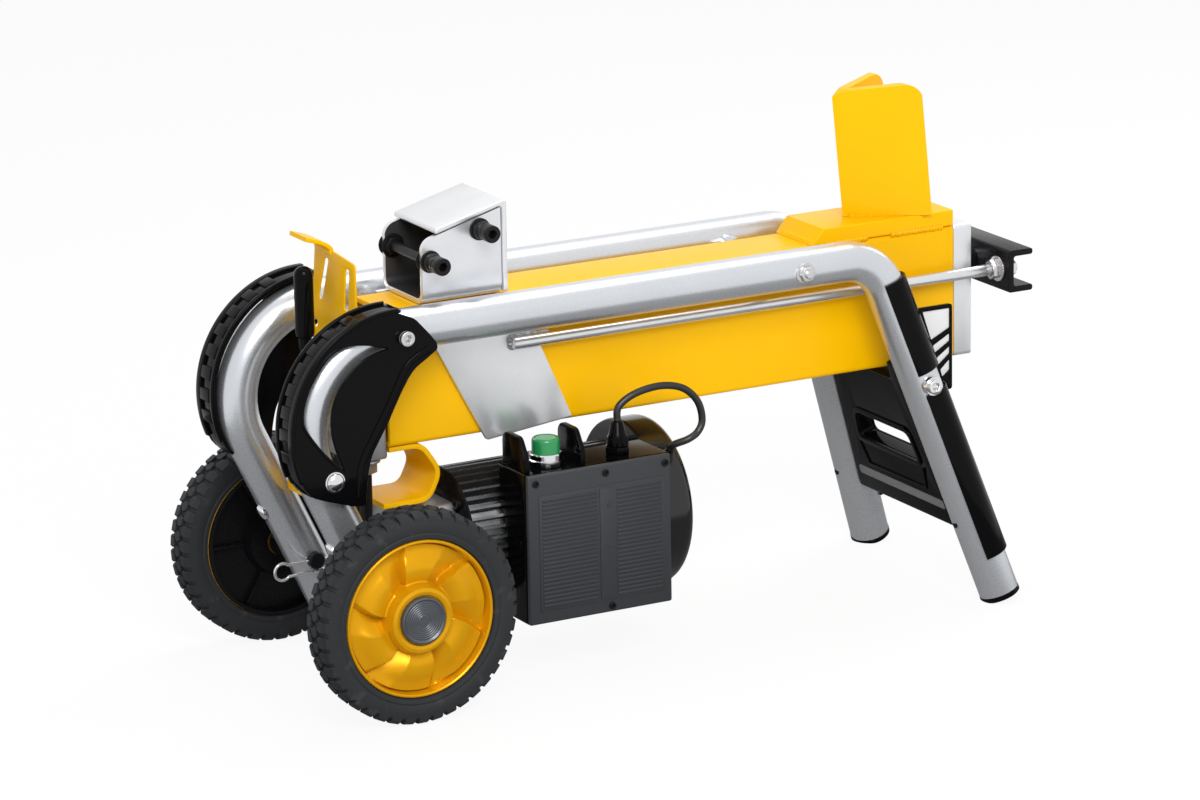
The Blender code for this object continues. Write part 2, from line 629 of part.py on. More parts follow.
def make_guard(label, side):
    """A front guard: the D-shaped plate with its crescent window, and the wall round the tube."""
    outline = arc(GUARD_CENTRE, GUARD_RADIUS, *GUARD_ANGLES, 18) + list(GUARD_EDGE)
    low, high = sorted((side * GUARD_Y[0], side * GUARD_Y[1]))
    guard = side_view(label + "_front_guard", outline, low, high, BLACK_PLASTIC)
    low, high = sorted((side * GUARD_CUT_Y[0], side * GUARD_CUT_Y[1]))
    cut(guard, side_view(label + "_guard_window", WINDOW, low, high, BLACK_PLASTIC))
    band = arc(GUARD_CENTRE, GUARD_RADIUS - GAP, *GUARD_WALL_ANGLES, 20)
    band += arc(GUARD_CENTRE, GUARD_RADIUS - GUARD_WALL, *reversed(GUARD_WALL_ANGLES), 20)
    low, high = sorted((side * GUARD_WALL_Y[0], side * GUARD_WALL_Y[1]))
    join(guard, side_view(label + "_guard_wall", band, low, high, BLACK_PLASTIC))
    x = RAIL_BOLT_X["front"]
    inner, outer = (side * y for y in GUARD_CUT_Y)
    hole = BOLT_RADIUS + HOLE_EASE
    cut(guard, rod(label + "_guard_hole", (x, inner, RAIL_Z), (x, outer, RAIL_Z), hole, ZINC, 12))


def leg_plane():
    """Axes of the plane through both rear legs: across, up the slope, and out of it to the back."""
    upward = Vector((REAR_CORNER_X - REAR_FOOT[0], 0, RAIL_Z)).normalized()
    outward = Vector((0, 1, 0)).cross(upward)
    return Matrix((Vector((0, 1, 0)), upward, outward)).transposed()


def make_rear_panel():
    """The moulded panel between the rear legs, with a hand opening to lift by."""
    stretch = Vector((REAR_CORNER_X - REAR_FOOT[0], RAIL_Z)).length / RAIL_Z
    clear = TUBE_RADIUS + PANEL_CLEAR

    def up(z):
        return (z - RAIL_Z) * stretch

    low, high = PANEL_Z
    half_low = rear_leg_y(low) - clear
    half_ear = rear_leg_y(PANEL_EAR_Z) - clear
    right = [(half_low, up(low)), (half_ear, up(PANEL_EAR_Z)), (PANEL_EAR_Y, up(PANEL_EAR_Z)), (PANEL_EAR_Y, up(high))]
    outline = right + [(-across, upward) for across, upward in reversed(right)]
    corner = (REAR_CORNER_X, 0, RAIL_Z)
    panel = plate("rear_panel", outline, PANEL_THICKNESS, corner, leg_plane(), BLACK_PLASTIC)
    low, high = PANEL_OPENING_Z
    half = PANEL_OPENING_HALF
    wide = half + PANEL_OPENING_FLARE
    opening = [(-wide, up(low)), (wide, up(low)), (half, up(high)), (-half, up(high))]
    cut(panel, plate("panel_opening", opening, 2 * OVERRUN, corner, leg_plane(), BLACK_PLASTIC))
    x = rear_leg_x(LEG_BOLT_Z)
    for label, side in SIDES.items():
        start = (x, side * (rear_leg_y(LEG_BOLT_Z) - TUBE_RADIUS - LEG_BOLT_INWARD - GAP), LEG_BOLT_Z)
        end = (x, side * HOLE_REACH_Y, LEG_BOLT_Z)
        cut(panel, rod(label + "_panel_hole", start, end, BOLT_RADIUS + HOLE_EASE, ZINC, 12))


def make_leg_strip(label, side):
    """The moulded strip that hugs the back of a rear leg, with its slotted wing."""
    bottom = rear_leg(side, STRIP_Z[0])
    top = rear_leg(side, STRIP_Z[1])
    along = (top - bottom).normalized()
    outward = leg_plane().col[2]
    axes = Matrix((outward.cross(along), outward, along)).transposed()
    first, last = STRIP_ANGLES[side]
    inner = arc((0, 0), TUBE_RADIUS + GAP, first, last, STRIP_STEPS)
    outer = arc((0, 0), TUBE_RADIUS + GAP + STRIP_THICKNESS, last, first, STRIP_STEPS)
    strip = plate(label + "_leg_strip", inner + outer, (top - bottom).length, (top + bottom) / 2, axes, BLACK_PLASTIC)
    low_z, high_z = WING_Z
    wing = [(rear_leg_x(high_z) + WING_ROOT, high_z), (rear_leg_x(low_z) + WING_ROOT, low_z), (WING_END_X, low_z),
            (WING_END_X, high_z)]
    low, high = sorted((side * WING_Y[0], side * WING_Y[1]))
    join(strip, side_view(label + "_wing", wing, low, high, BLACK_PLASTIC))
    low, high = sorted((side * WING_CUT_Y[0], side * WING_CUT_Y[1]))
    right = WING_END_X - WING_CELL_MARGIN
    for index, (low_z, high_z, end_low_z, end_high_z) in enumerate(WING_CELLS):
        left_low = rear_leg_x(low_z) + WING_CELL_ROOT
        left_high = rear_leg_x(high_z) + WING_CELL_ROOT
        cell = [(left_low, low_z), (right, end_low_z), (right, end_high_z), (left_high, high_z)]
        cut(strip, side_view(f"{label}_cell_{index}", cell, low, high, BLACK_PLASTIC))
    cut(strip, rod(label + "_leg_bed", rear_leg(side, 0.0), rear_leg(side, RAIL_Z), TUBE_RADIUS + GAP, ZINC, 32))
    bolt = rear_leg(side, LEG_BOLT_Z)
    past = (bolt.x, side * HOLE_REACH_Y, bolt.z)
    cut(strip, rod(label + "_strip_hole", bolt, past, STRIP_BOLT_CLEAR, ZINC, 24))


def make_wheel(label, side):
    """A tyre, rim and hub cap that turn together on a stub axle held by a spring clip."""
    centre = (AXLE_X, side * WHEEL_Y, WHEEL_RADIUS)
    axis = (0, side, 0)
    half = WHEEL_HALF
    tyre = list(TYRE_PROFILE) + [(radius, -height) for radius, height in reversed(TYRE_PROFILE)]
    turned(label + "_tyre", tyre, centre, axis, RUBBER, 40, True)
    bore = AXLE_RADIUS + HOLE_EASE
    rim = [(bore, half), *RIM_FRONT, *RIM_BACK, (bore, -half)]
    turned(label + "_rim", rim, centre, axis, RIM_YELLOW, 30, True)
    cap = [(0, HUB_CAP[0][1]), *HUB_CAP, (HUB_CAP[1][0], half + GAP), (0, half + GAP)]
    turned(label + "_hub_cap", cap, centre, axis, CAP_GREY, 32)
    collar_in = RAIL_Y + TUBE_RADIUS + GAP
    hub_in = WHEEL_Y - half - GAP
    end = WHEEL_Y + half - AXLE_END
    axle = [(0, end), (AXLE_RADIUS, end), (AXLE_RADIUS, hub_in), (AXLE_COLLAR_RADIUS, hub_in),
            (AXLE_COLLAR_RADIUS, collar_in), (AXLE_RADIUS, collar_in), (AXLE_RADIUS, AXLE_INNER_Y),
            (0, AXLE_INNER_Y)]
    pin = turned(label + "_axle", axle, (AXLE_X, 0, WHEEL_RADIUS), axis, ZINC, 20)
    y = side * CLIP_Y
    cut(pin, rod(label + "_clip_hole", (AXLE_X - OVERRUN, y, WHEEL_RADIUS), (AXLE_X + OVERRUN, y, WHEEL_RADIUS),
                 CLIP_WIRE + CLIP_HOLE_EASE, ZINC, 10))
    line = list(CLIP_STRAIGHT) + arc(*CLIP_RING, 14) + list(CLIP_SPRUNG)
    route = [(AXLE_X + x, y, WHEEL_RADIUS + z) for x, z in line]
    tube(label + "_axle_clip", route, CLIP_WIRE, ZINC, 1)


def make_ram():
    """What the ram moves: piston rod, crosshead, tie rods, side plates and pusher."""
    top = CROSS_X[0] - GAP
    profile = [(0, top), (PISTON_ROD_RADIUS, top), (PISTON_ROD_RADIUS, PISTON_X[1]),
               (PISTON_RADIUS, PISTON_X[1]), (PISTON_RADIUS, PISTON_X[0]), (0, PISTON_X[0])]
    turned("piston_rod", profile, (0, 0, ROD_Z), (1, 0, 0), CHROME, 28)
    x0, x1 = CROSS_X
    low, high = ROD_Z - CROSS_HALF_HEIGHT, ROD_Z + CROSS_HALF_HEIGHT
    wall = CROSS_WALL
    outline = [(x0, low), (x1, low), (x1, low + wall), (x0 + wall, low + wall), (x0 + wall, high - wall),
               (x1, high - wall), (x1, high), (x0, high)]
    crosshead = side_view("crosshead", outline, -CROSS_HALF_WIDTH, CROSS_HALF_WIDTH, BLACK_PAINT)
    for label, side in SIDES.items():
        y = side * ROD_Y
        hole = ROD_RADIUS + HOLE_EASE
        hole_ends = (x0 - OVERRUN, y, ROD_Z), (x0 + OVERRUN, y, ROD_Z)
        cut(crosshead, rod(label + "_tie_hole", *hole_ends, hole, ZINC, 16))
        head = x0 + wall + GAP
        profile = [(0, ROD_X[1]), (ROD_RADIUS, ROD_X[1]), (ROD_RADIUS, head + NUT_HEIGHT),
                   (NUT_RADIUS, head + NUT_HEIGHT), (NUT_RADIUS, head), (ROD_RADIUS, head),
                   (ROD_RADIUS, ROD_X[0]), (0, ROD_X[0])]
        turned(label + "_tie_rod", profile, (0, y, ROD_Z), (1, 0, 0), ZINC, 18)
        start = x0 - GAP - NUT_HEIGHT
        nut = rod(label + "_tie_nut", (start, y, ROD_Z), (start + NUT_HEIGHT, y, ROD_Z), NUT_RADIUS, ZINC, 6)
        cut(nut, rod(label + "_tie_thread", *hole_ends, hole, ZINC, 16))
        inner, outer = sorted((side * PLATE_Y[0], side * PLATE_Y[1]))
        side_view(label + "_side_plate", SIDE_PLATE, inner, outer, ZINC)


def make_pusher():
    """The pusher: a U-shaped channel and a bent plate that makes its face and sloping top."""
    half, wall, floor = PLATE_Y[1], PUSHER_WALL, PUSHER_FLOOR_Z
    x0, x1 = PUSHER_X
    low_top, high_top = PUSHER_TOP_Z
    corner = PUSHER_CORNER
    spare_top = high_top + OVERRUN
    outer = arc((half - corner, floor + corner), corner, 270, 360, 4) + [(half, spare_top), (-half, spare_top)]
    outer += arc((corner - half, floor + corner), corner, 180, 270, 4)
    channel = end_view("pusher_channel", outer, x0, x1, ZINC)
    inside = half - wall
    inner = [(-inside, spare_top + OVERRUN), (-inside, floor + corner), (corner - half, floor + wall),
             (half - corner, floor + wall), (inside, floor + corner), (inside, spare_top + OVERRUN)]
    cut(channel, end_view("channel_inside", inner, x0 - OVERRUN, x1 + OVERRUN, ZINC))
    front_x = PUSHER_TOP_FRONT_X
    slope = (high_top - low_top) / (x1 - front_x)
    spare = PUSHER_SPARE
    shoulder = low_top - (front_x - x0)
    above = [(x0 - spare, shoulder)] + arc((front_x, shoulder), front_x - x0, 180, 90, 5)
    above += [(x1 + spare, high_top + slope * spare), (x1 + spare, high_top + 2 * spare),
              (x0 - spare, high_top + 2 * spare)]
    cut(channel, side_view("channel_slope", above, -half - OVERRUN, half + OVERRUN, ZINC))
    face_x0, face_x1 = x1 + GAP, x1 + GAP + PUSHER_FACE
    sheet = PUSHER_FACE
    under_back = high_top + GAP + slope * GAP
    under_front = under_back - slope * (face_x0 - front_x)
    face_low = floor + PUSHER_FACE_LIFT
    bend = [(face_x1, face_low), (face_x1, under_back + PUSHER_BEND[0] * sheet),
            (face_x1 - PUSHER_BEND[0] * sheet, under_back + PUSHER_BEND[1] * sheet),
            (face_x1 - sheet, under_back + sheet), (front_x, under_front + sheet), (front_x, under_front),
            (face_x0, under_back), (face_x0, face_low)]
    side_view("pusher_plate", bend, -PUSHER_TOP_HALF, PUSHER_TOP_HALF, ZINC)
    r = PUSHER_BOLT_RADIUS
    reach = half + OVERRUN
    end, seat = half + PUSHER_BOLT_OUT, -half - GAP
    start = seat - PUSHER_BOLT_HEAD_LENGTH
    for label, (x, z) in PUSHER_BOLTS.items():
        cut(channel, rod(label + "_pusher_hole", (x, -reach, z), (x, reach, z), r + HOLE_EASE, ZINC, 16))
        profile = [(0, end), (r, end), (r, seat), (PUSHER_BOLT_HEAD, seat), (PUSHER_BOLT_HEAD, start), (0, start)]
        turned(f"pusher_bolt_{label}", profile, (x, 0, z), (0, 1, 0), DARK_STEEL, 18)


def make_controls():
    """The valve block with its hand lever and the plate that guards the hand."""
    half = BLOCK_HALF_WIDTH
    block = box("valve_block", (BLOCK_X[0], -half, BLOCK_Z[0]), (BLOCK_X[1], half, BLOCK_Z[1]), ZINC,
                BLOCK_ROUNDING)
    x, z = LEVER_PIVOT
    wide, high, deep = LEVER_SLOT
    cut(block, box("lever_slot", (BLOCK_X[0] - OVERRUN, -wide, z - high), (x + deep, wide, z + high), ZINC))
    port_x, port_z = PIPE_ROUTE[0]
    fitting_top = (port_x, PIPE_Y, BLOCK_Z[0] + BLOCK_ROUNDING)
    join(block, rod("pipe_fitting", (port_x, PIPE_Y, port_z + 2 * GAP), fitting_top, FITTING_RADIUS, ZINC, 6))
    pin = LEVER_PIN_RADIUS + HOLE_EASE
    cut(block, rod("pin_hole", (x, -half - OVERRUN, z), (x, half + OVERRUN, z), pin, ZINC, 14))
    rod("lever_pin", (x, GAP - half, z), (x, half - GAP, z), LEVER_PIN_RADIUS, ZINC, 14)
    bend = arc((LEVER_X + LEVER_BEND, z + LEVER_BEND), LEVER_BEND, 270, 180, 6)
    line = [(x + LEVER_TAIL, z)] + bend
    grip = [(LEVER_X, LEVER_TOP_Z - rise) for rise in GRIP_STEPS]
    radii = [LEVER_RADIUS] * (len(line) + 1) + [GRIP_RADIUS, GRIP_RADIUS, GRIP_END * GRIP_RADIUS]
    route = [(a - x, 0, b - z) for a, b in line + grip]
    lever = tube("control_lever", route, GRIP_RADIUS, BLACK_PLASTIC, 3, radii)
    lever.location += Vector((x, 0, z))
    cut(lever, rod("lever_pin_hole", (x, -OVERRUN, z), (x, OVERRUN, z), pin, ZINC, 14))
    guard = end_view("lever_guard", LEVER_GUARD, *LEVER_GUARD_X, YELLOW)
    for index, (y, low, high) in enumerate(LEVER_GUARD_SLOTS):
        cut(guard, box(f"guard_slot_{index}", (LEVER_GUARD_X[0] - OVERRUN, y - SLOT_HALF_WIDTH, low),
                       (LEVER_GUARD_X[1] + OVERRUN, y + SLOT_HALF_WIDTH, high), YELLOW))
    join(guard, side_view("guard_lip", LIP_OUTLINE, *LIP_Y, YELLOW))


def make_motor():
    """The finned motor with its rotor, flange and fan cover, the pump, and the bracket that hangs them."""
    outline = []
    for fin in range(MOTOR_FINS):
        for share, outer in FIN_SHARES:
            radius = MOTOR_FIN_RADIUS if outer else MOTOR_CORE_RADIUS
            angle = 2 * math.pi * (fin + share) / MOTOR_FINS
            outline.append((MOTOR_Y + radius * math.cos(angle), MOTOR_Z + radius * math.sin(angle)))
    housing = end_view("motor_housing", outline, *MOTOR_X, BLACK_PAINT)
    bore_end = (MOTOR_X[1] + OVERRUN, MOTOR_Y, MOTOR_Z)
    cut(housing, rod("stator_bore", (0, MOTOR_Y, MOTOR_Z), bore_end, STATOR_RADIUS, ZINC, 24))
    ease = SHAFT_RADIUS + SHAFT_EASE
    start = MOTOR_X[0] - GAP
    thick = start - PUMP_X[1] - GAP
    profile = [(ease, thick), (FLANGE_RADIUS, thick), (FLANGE_RADIUS, 0), (ease, 0)]
    turned("motor_flange", profile, (PUMP_X[1] + GAP, MOTOR_Y, MOTOR_Z), (1, 0, 0), BLACK_PAINT, 30, True)
    profile = [(0, SHAFT_X[1]), (SHAFT_RADIUS, SHAFT_X[1]), (SHAFT_RADIUS, FAN_X[1]), (FAN_RADIUS, FAN_X[1]),
               (FAN_RADIUS, FAN_X[0]), (SHAFT_RADIUS, FAN_X[0]), (SHAFT_RADIUS, ROTOR_X[1]),
               (ROTOR_RADIUS, ROTOR_X[1]), (ROTOR_RADIUS, ROTOR_X[0]), (SHAFT_RADIUS, ROTOR_X[0]),
               (SHAFT_RADIUS, SHAFT_X[0]), (0, SHAFT_X[0])]
    turned("motor_rotor", profile, (0, MOTOR_Y, MOTOR_Z), (1, 0, 0), DARK_STEEL, 24)
    x0, x1 = FAN_COVER_X
    r, t, neck, eye = FAN_COVER_RADIUS, SHEET, FAN_COVER_NECK, FAN_COVER_EYE
    cup = [(eye, x1)] + [(r - inward, x1 - back) for inward, back in FAN_COVER_EDGE]
    cup += [(r, x0), (neck, x0), (neck, x0 + t), (r - t, x0 + t)]
    cup += [(r - inward, x1 - back) for inward, back in FAN_COVER_INSIDE] + [(eye, x1 - t)]
    cover = turned("fan_cover", cup, (0, MOTOR_Y, MOTOR_Z), (1, 0, 0), BLACK_PAINT, 32, True)
    middle = Vector((x1, MOTOR_Y, MOTOR_Z))
    half = Vector(FAN_SLOT_HALF)
    for index in range(FAN_SLOTS):
        turn = Matrix.Rotation(math.pi * index / FAN_SLOTS, 3, "X")
        cut(cover, box(f"fan_slot_{index}", middle - half, middle + half, BLACK_PAINT, 0.0, turn))
    pump = box("pump_body", (PUMP_X[0], MOTOR_Y - PUMP_HALF_WIDTH, PUMP_Z[0]),
               (PUMP_X[1], MOTOR_Y + PUMP_HALF_WIDTH, PUMP_Z[1]), ZINC, PUMP_ROUNDING)
    cut(pump, rod("pump_shaft_hole", (SHAFT_X[0] - PUMP_SHAFT_END, MOTOR_Y, MOTOR_Z),
                  (PUMP_X[1] + OVERRUN, MOTOR_Y, MOTOR_Z), ease, ZINC, 20))


def make_carriers():
    """The bracket from the beam to the pump, the plate between the front legs, and the pressure pipe."""
    strip = bpy.data.meshes.new("support_bracket")
    half = BRACKET_HALF_WIDTH
    count = len(BRACKET_PATH)
    points = [(x, y, z) for y in (-half, half) for x, z in BRACKET_PATH]
    strip.from_pydata(points, [], [(i, i + 1, count + i + 1, count + i) for i in range(count - 1)])
    bracket = place("support_bracket", strip, (0, 0, 0), YELLOW)
    sheet = bracket.modifiers.new("Sheet", "SOLIDIFY")
    sheet.thickness = BRACKET_SHEET
    sheet.offset = 0.0
    sheet.use_even_offset = True
    box("front_cross_plate", (CROSS_PLATE_X[0], -CROSS_PLATE_HALF, CROSS_PLATE_Z[0]),
        (CROSS_PLATE_X[1], CROSS_PLATE_HALF, CROSS_PLATE_Z[1]), YELLOW, EDGE_ROUNDING)
    route = smooth_route([(a, PIPE_Y, b) for a, b in PIPE_ROUTE], 3)
    tube("pressure_pipe", route, PIPE_RADIUS, DARK_STEEL, 2)


def make_switch_box():
    """The switch box on the motor with its cover, start button and collar."""
    x0, x1 = BOX_X
    y0, y1 = BOX_Y
    z0, z1 = BOX_Z
    body = box("switch_box", (x0, y0, z0), (x1, y1, z1), ANTHRACITE, BOX_ROUNDING)
    in_front, in_back, sink = FIN_INSET
    for index, (low, high) in enumerate(FIN_X):
        join(body, box(f"button_fin_{index}", (low, y0 + in_front, z1 - sink), (high, y1 - in_back, FIN_TOP_Z),
                       ANTHRACITE))
    wall = BOX_WALL
    cut(body, box("box_inside", (x0 + wall, y0 - OVERRUN, z0 + wall), (x1 - wall, BOX_BACK_Y, z1 - wall),
                  ANTHRACITE))
    bed_end = (x1 + OVERRUN, MOTOR_Y, MOTOR_Z)
    cut(body, rod("motor_bed", (0, MOTOR_Y, MOTOR_Z), bed_end, MOTOR_FIN_RADIUS + GAP, ANTHRACITE, 48))
    x, y = BUTTON_AT
    bore = BUTTON_RADIUS + BUTTON_EASE
    hole_low = (x, y, BUTTON_Z[0] - BUTTON_TRAVEL)
    cut(body, rod("button_hole", hole_low, (x, y, z1 + BOX_ROUNDING), bore, ANTHRACITE, 24))
    box("switch_cover", (x0, y0 - GAP - COVER_THICKNESS, z0), (x1, y0 - GAP, z1), ANTHRACITE, COVER_ROUNDING)
    low, high = z1 + GAP, COLLAR_TOP_Z
    edge, r = COLLAR_ROUNDING, COLLAR_RADIUS
    collar = [(bore, high), (r - edge, high), (r, high - edge), (r, low), (bore, low)]
    turned("button_collar", collar, (x, y, 0), (0, 0, 1), CHROME, 28, True)
    low, high = BUTTON_Z
    r = BUTTON_RADIUS
    button = [(0, high)] + [(share * r, high - drop) for share, drop in BUTTON_EDGE] + [(r, low), (0, low)]
    turned("start_button", button, (x, y, 0), (0, 0, 1), GREEN, 24)
    x, y = GLAND_AT
    top, base, r = GLAND_TOP_Z, z1 + GAP, GLAND_RADIUS
    gland = [(0, top)] + [(share * r, top - drop) for share, drop in GLAND_EDGE] + [(r, base), (0, base)]
    turned("cable_gland", gland, (x, y, 0), (0, 0, 1), BLACK_PLASTIC, 20)


def make_lead():
    """The lead from the switch box to the motor, and the gland on the fan cover where it goes in."""
    outward = Vector((0, math.cos(LEAD_END_ANGLE), math.sin(LEAD_END_ANGLE)))
    middle = Vector((LEAD_END_X, MOTOR_Y, MOTOR_Z))
    start = middle + outward * (FAN_COVER_RADIUS + GAP)
    end = start + outward * LEAD_GLAND
    base = start - outward * LEAD_GLAND_SINK
    join(bpy.data.objects["fan_cover"], rod("motor_gland", base, end, 2 * LEAD_RADIUS, BLACK_PLASTIC, 16))
    route = smooth_route(list(LEAD_ROUTE) + [end + outward * away for away in LEAD_APPROACH], 3)
    tube("motor_lead", route, LEAD_RADIUS, PVC, 2)


make_beam()
make_wedge()
for label, side in SIDES.items():
    make_rail(label, side)
    make_rail_bolts(label, side)
    make_guard(label, side)
    make_leg_strip(label, side)
    make_wheel(label, side)
make_rear_panel()
make_ram()
make_pusher()
make_controls()
make_motor()
make_carriers()
make_switch_box()
make_lead()
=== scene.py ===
"""The looks of a log splitter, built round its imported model.

Metres, in the model's own frame. Places along X are written from the front end of the beam, as in the part's
source, and piece() moves them into the model's frame.
"""
import math

import bmesh
import bpy
from mathutils import Matrix, Vector, noise


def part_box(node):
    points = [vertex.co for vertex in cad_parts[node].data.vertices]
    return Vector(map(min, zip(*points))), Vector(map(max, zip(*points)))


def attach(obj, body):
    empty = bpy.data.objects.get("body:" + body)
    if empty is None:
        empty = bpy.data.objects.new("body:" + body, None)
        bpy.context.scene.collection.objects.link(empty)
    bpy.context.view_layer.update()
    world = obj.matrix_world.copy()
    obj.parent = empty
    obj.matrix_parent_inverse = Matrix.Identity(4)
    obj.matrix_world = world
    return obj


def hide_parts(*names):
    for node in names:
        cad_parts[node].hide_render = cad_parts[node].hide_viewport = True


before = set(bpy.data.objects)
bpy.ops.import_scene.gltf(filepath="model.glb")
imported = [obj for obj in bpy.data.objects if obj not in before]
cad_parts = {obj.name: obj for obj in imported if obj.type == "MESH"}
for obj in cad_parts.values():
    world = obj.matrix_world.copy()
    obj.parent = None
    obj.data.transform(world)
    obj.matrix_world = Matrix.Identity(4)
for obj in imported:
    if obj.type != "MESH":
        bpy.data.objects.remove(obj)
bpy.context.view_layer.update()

# Placing and camera
MIDDLE_X = 0.2675
SIDES = {"near": -1.0, "far": 1.0}
GAP = 0.0003
AZIMUTH = math.radians(-28.64)
ELEVATION = math.radians(15.30)
ROLL = math.radians(-1.01)
CAMERA_DISTANCE = 5.1047
CAMERA_TARGET = Vector((0.2406 - MIDDLE_X, 0.0108, 0.2186))
LENS = 165.0
SENSOR = 36.0

# Stage and light
FLOOR_HALF = (30.0, 30.0)
FLOOR_GREY = 0.86
FLOOR_ROUGHNESS = 0.9
FLOOR_WHITE = 0.92
CARD_HALF = (0.80, 0.65)
CARD_Z = 0.0005
CARD_GREY = 0.28
WORLD_LIGHT = 0.45
LAMP_TARGET = Vector((0, 0, 0.2))
# Each lamp: its name, place, size and power.
LAMPS = (
    ("key", (-1.0, -2.7, 2.3), 1.6, 88.0),
    ("top", (0.5, 0.5, 2.8), 1.8, 32.0),
    ("rear", (2.2, 1.2, 1.6), 1.0, 16.0),
)

# What all finishes share
COAT_ROUGHNESS = 0.06
LEAST_ROUGHNESS = 0.03
RELIEF_DEPTH = 0.0004
WEAR_SCALE = 5
WEAR_DETAIL = 6.0

# Beam and wedge
BEAM_LENGTH = 0.600
BEAM_HALF = 0.034
BEAM_Z = (0.219, 0.347)
BEAM_WALL = 0.005
BEAM_CORNER = 0.006
BEAM_INNER_CORNER = 0.002
END_PLATE_X = (0.6003, 0.6203)
END_PLATE_CORNER = 0.004
END_PLATE_HOLE = 0.0103
SADDLE_X = (0.445, 0.600)
SADDLE_Z = (0.3473, 0.3622)
SADDLE_CHAMFER = 0.012
SADDLE_WELDS_X = ((0.457, 0.505), (0.530, 0.588))
SADDLE_WELD_INSET = 0.001
CHAMFER_WELD_X = 0.449
CHAMFER_WELD_HALF = 0.026
CHAMFER_WELD_RADIUS = 0.0030
WEDGE_WELD = ((0.502, 0.003), (0.570, 0.0336))
WEDGE_WELD_RADIUS = 0.0032
WELD_RADIUS = 0.0028
WELD_PITCH = 0.0032
WEDGE_X = (0.498, 0.573)
WEDGE_HALF = 0.040
WEDGE_PLATE = 0.009
WEDGE_Z = (0.3625, 0.500)
WEDGE_RAKE = 0.0944
WEDGE_CROWN = ((0.4865, 0.4785), (0.500, 0.4845), (0.547, 0.489))
WEDGE_CROWN_RADIUS = 0.016
WEDGE_GROUND = (0.013, 0.0083)
WEDGE_BEVEL = 0.0008
WEDGE_SHARP = 0.6

# Rails and their bolts
TUBE_RADIUS = 0.019
TUBE_WALL = 0.0022
TUBE_SIDES = 48
RAIL_Y = 0.072
RAIL_Z = 0.339
FRONT_ARC_X = -0.0165
FRONT_ARC_RADIUS = 0.085
FRONT_SLANT = math.radians(25.2)
FRONT_LEG_END_Z = 0.055
LEG_STUD_Z = 0.153
LEG_STUD = (0.0078, 0.0048)
REAR_CORNER_X = 0.488
REAR_BEND_RADIUS = 0.045
REAR_FOOT = (0.601, 0.118)
REAR_TUBE_END_Z = 0.009
FOOT_CAP_RADIUS = 0.0194
FOOT_CAP_Z = (0.0036, 0.0087)
FOOT_GROUND_Z = 0.0002
RAIL_BOLT_X = {"front": -0.0155, "rear": 0.403}
RAIL_BOLT_SPACER = 0.008
RAIL_BOLT_SCREW = (0.0068, 0.0062)
RAIL_BOLT_NUT = (0.0078, 0.0062)
RAIL_BOLT_END = ((0, 0.0082), (0.0032, 0.0082), (0.004, 0.0074), (0.004, 0.004), (0, 0.004))
LEG_BOLT_Z = 0.218
LEG_SLEEVE = ((0, 0.0076), (0.0086, 0.0076), (0.0092, 0.0070), (0.0092, 0.0), (0, 0.0))
LEG_SLEEVE_SUNK = 0.0012
LEG_SCREW_OUT = 0.0072
LEG_SCREW = (0.0072, 0.0040)
LEG_PIN_RADIUS = 0.004
LEG_PIN_REACH = (-0.0095, 0.004)

# Front guards
GUARD_CENTRE = (-0.022, 0.259)
GUARD_RADIUS = 0.105
GUARD_ANGLES = (92.0, 206.0)
GUARD_EDGE = ((-0.110, 0.2055), (-0.097, 0.2004), (-0.070, 0.1916), (-0.0565, 0.1900), (-0.0571, 0.1993),
              (-0.0544, 0.2183), (-0.0504, 0.2345), (-0.0431, 0.2476), (-0.0329, 0.2642), (-0.0254, 0.2785),
              (-0.0137, 0.2987), (-0.0050, 0.3091), (0.0063, 0.3164), (0.0177, 0.3238), (0.0172, 0.3296),
              (0.0110, 0.3376), (-0.0040, 0.3545))
# The run of points in GUARD_EDGE that is drawn as a smooth curve.
GUARD_CURVE = slice(4, 13)
GUARD_CORNER = 0.004
GUARD_Y = (0.0958, 0.0998)
GUARD_WALL_ANGLES = (87.0, 206.0)
GUARD_WALL_Y = (0.066, 0.097)
GUARD_WALL = 0.003
GUARD_WALL_END = 0.0022
GUARD_RIMS_Y = ((0.066, 0.071), (0.0918, 0.1002))
GUARD_RIM_ANGLES = (89.0, 202.0)
GUARD_RIM_RADII = (0.1072, 0.103)
WINDOW_OUTER = ((-0.0322, 0.3309), (-0.0514, 0.3362), (-0.0706, 0.3378), (-0.0878, 0.3316), (-0.1005, 0.3176),
                (-0.1095, 0.3030), (-0.1150, 0.2875), (-0.1150, 0.2730), (-0.1080, 0.2600), (-0.0958, 0.2440),
                (-0.0825, 0.2304), (-0.0784, 0.2258))
WINDOW_INNER = ((-0.0823, 0.2355), (-0.0867, 0.2491), (-0.0890, 0.2622), (-0.0892, 0.2752), (-0.0868, 0.2876),
                (-0.0802, 0.3007), (-0.0714, 0.3122), (-0.0601, 0.3221), (-0.0462, 0.3278))
WINDOW_LIP_OUT = 0.0022
WINDOW_LIP_RADIUS = 0.0016
CHORD_RIM = ((0.0090, 0.3255), (-0.0047, 0.3193), (-0.0161, 0.3094), (-0.0309, 0.2819), (-0.0485, 0.2523),
             (-0.0618, 0.2272), (-0.0633, 0.2003))
CHORD_RIM_HALF = (0.0022, 0.0032)
GUARD_STUD = (-0.088, 0.217)
GUARD_STUD_HEAD = (0.0085, 0.0060)
GRIP_BUMPS = 8
BUMP_ANGLES = (112.0, 190.0)
BUMP_Y = 0.0835
BUMP_HALF = Vector((0.0062, 0.0106, 0.0020))

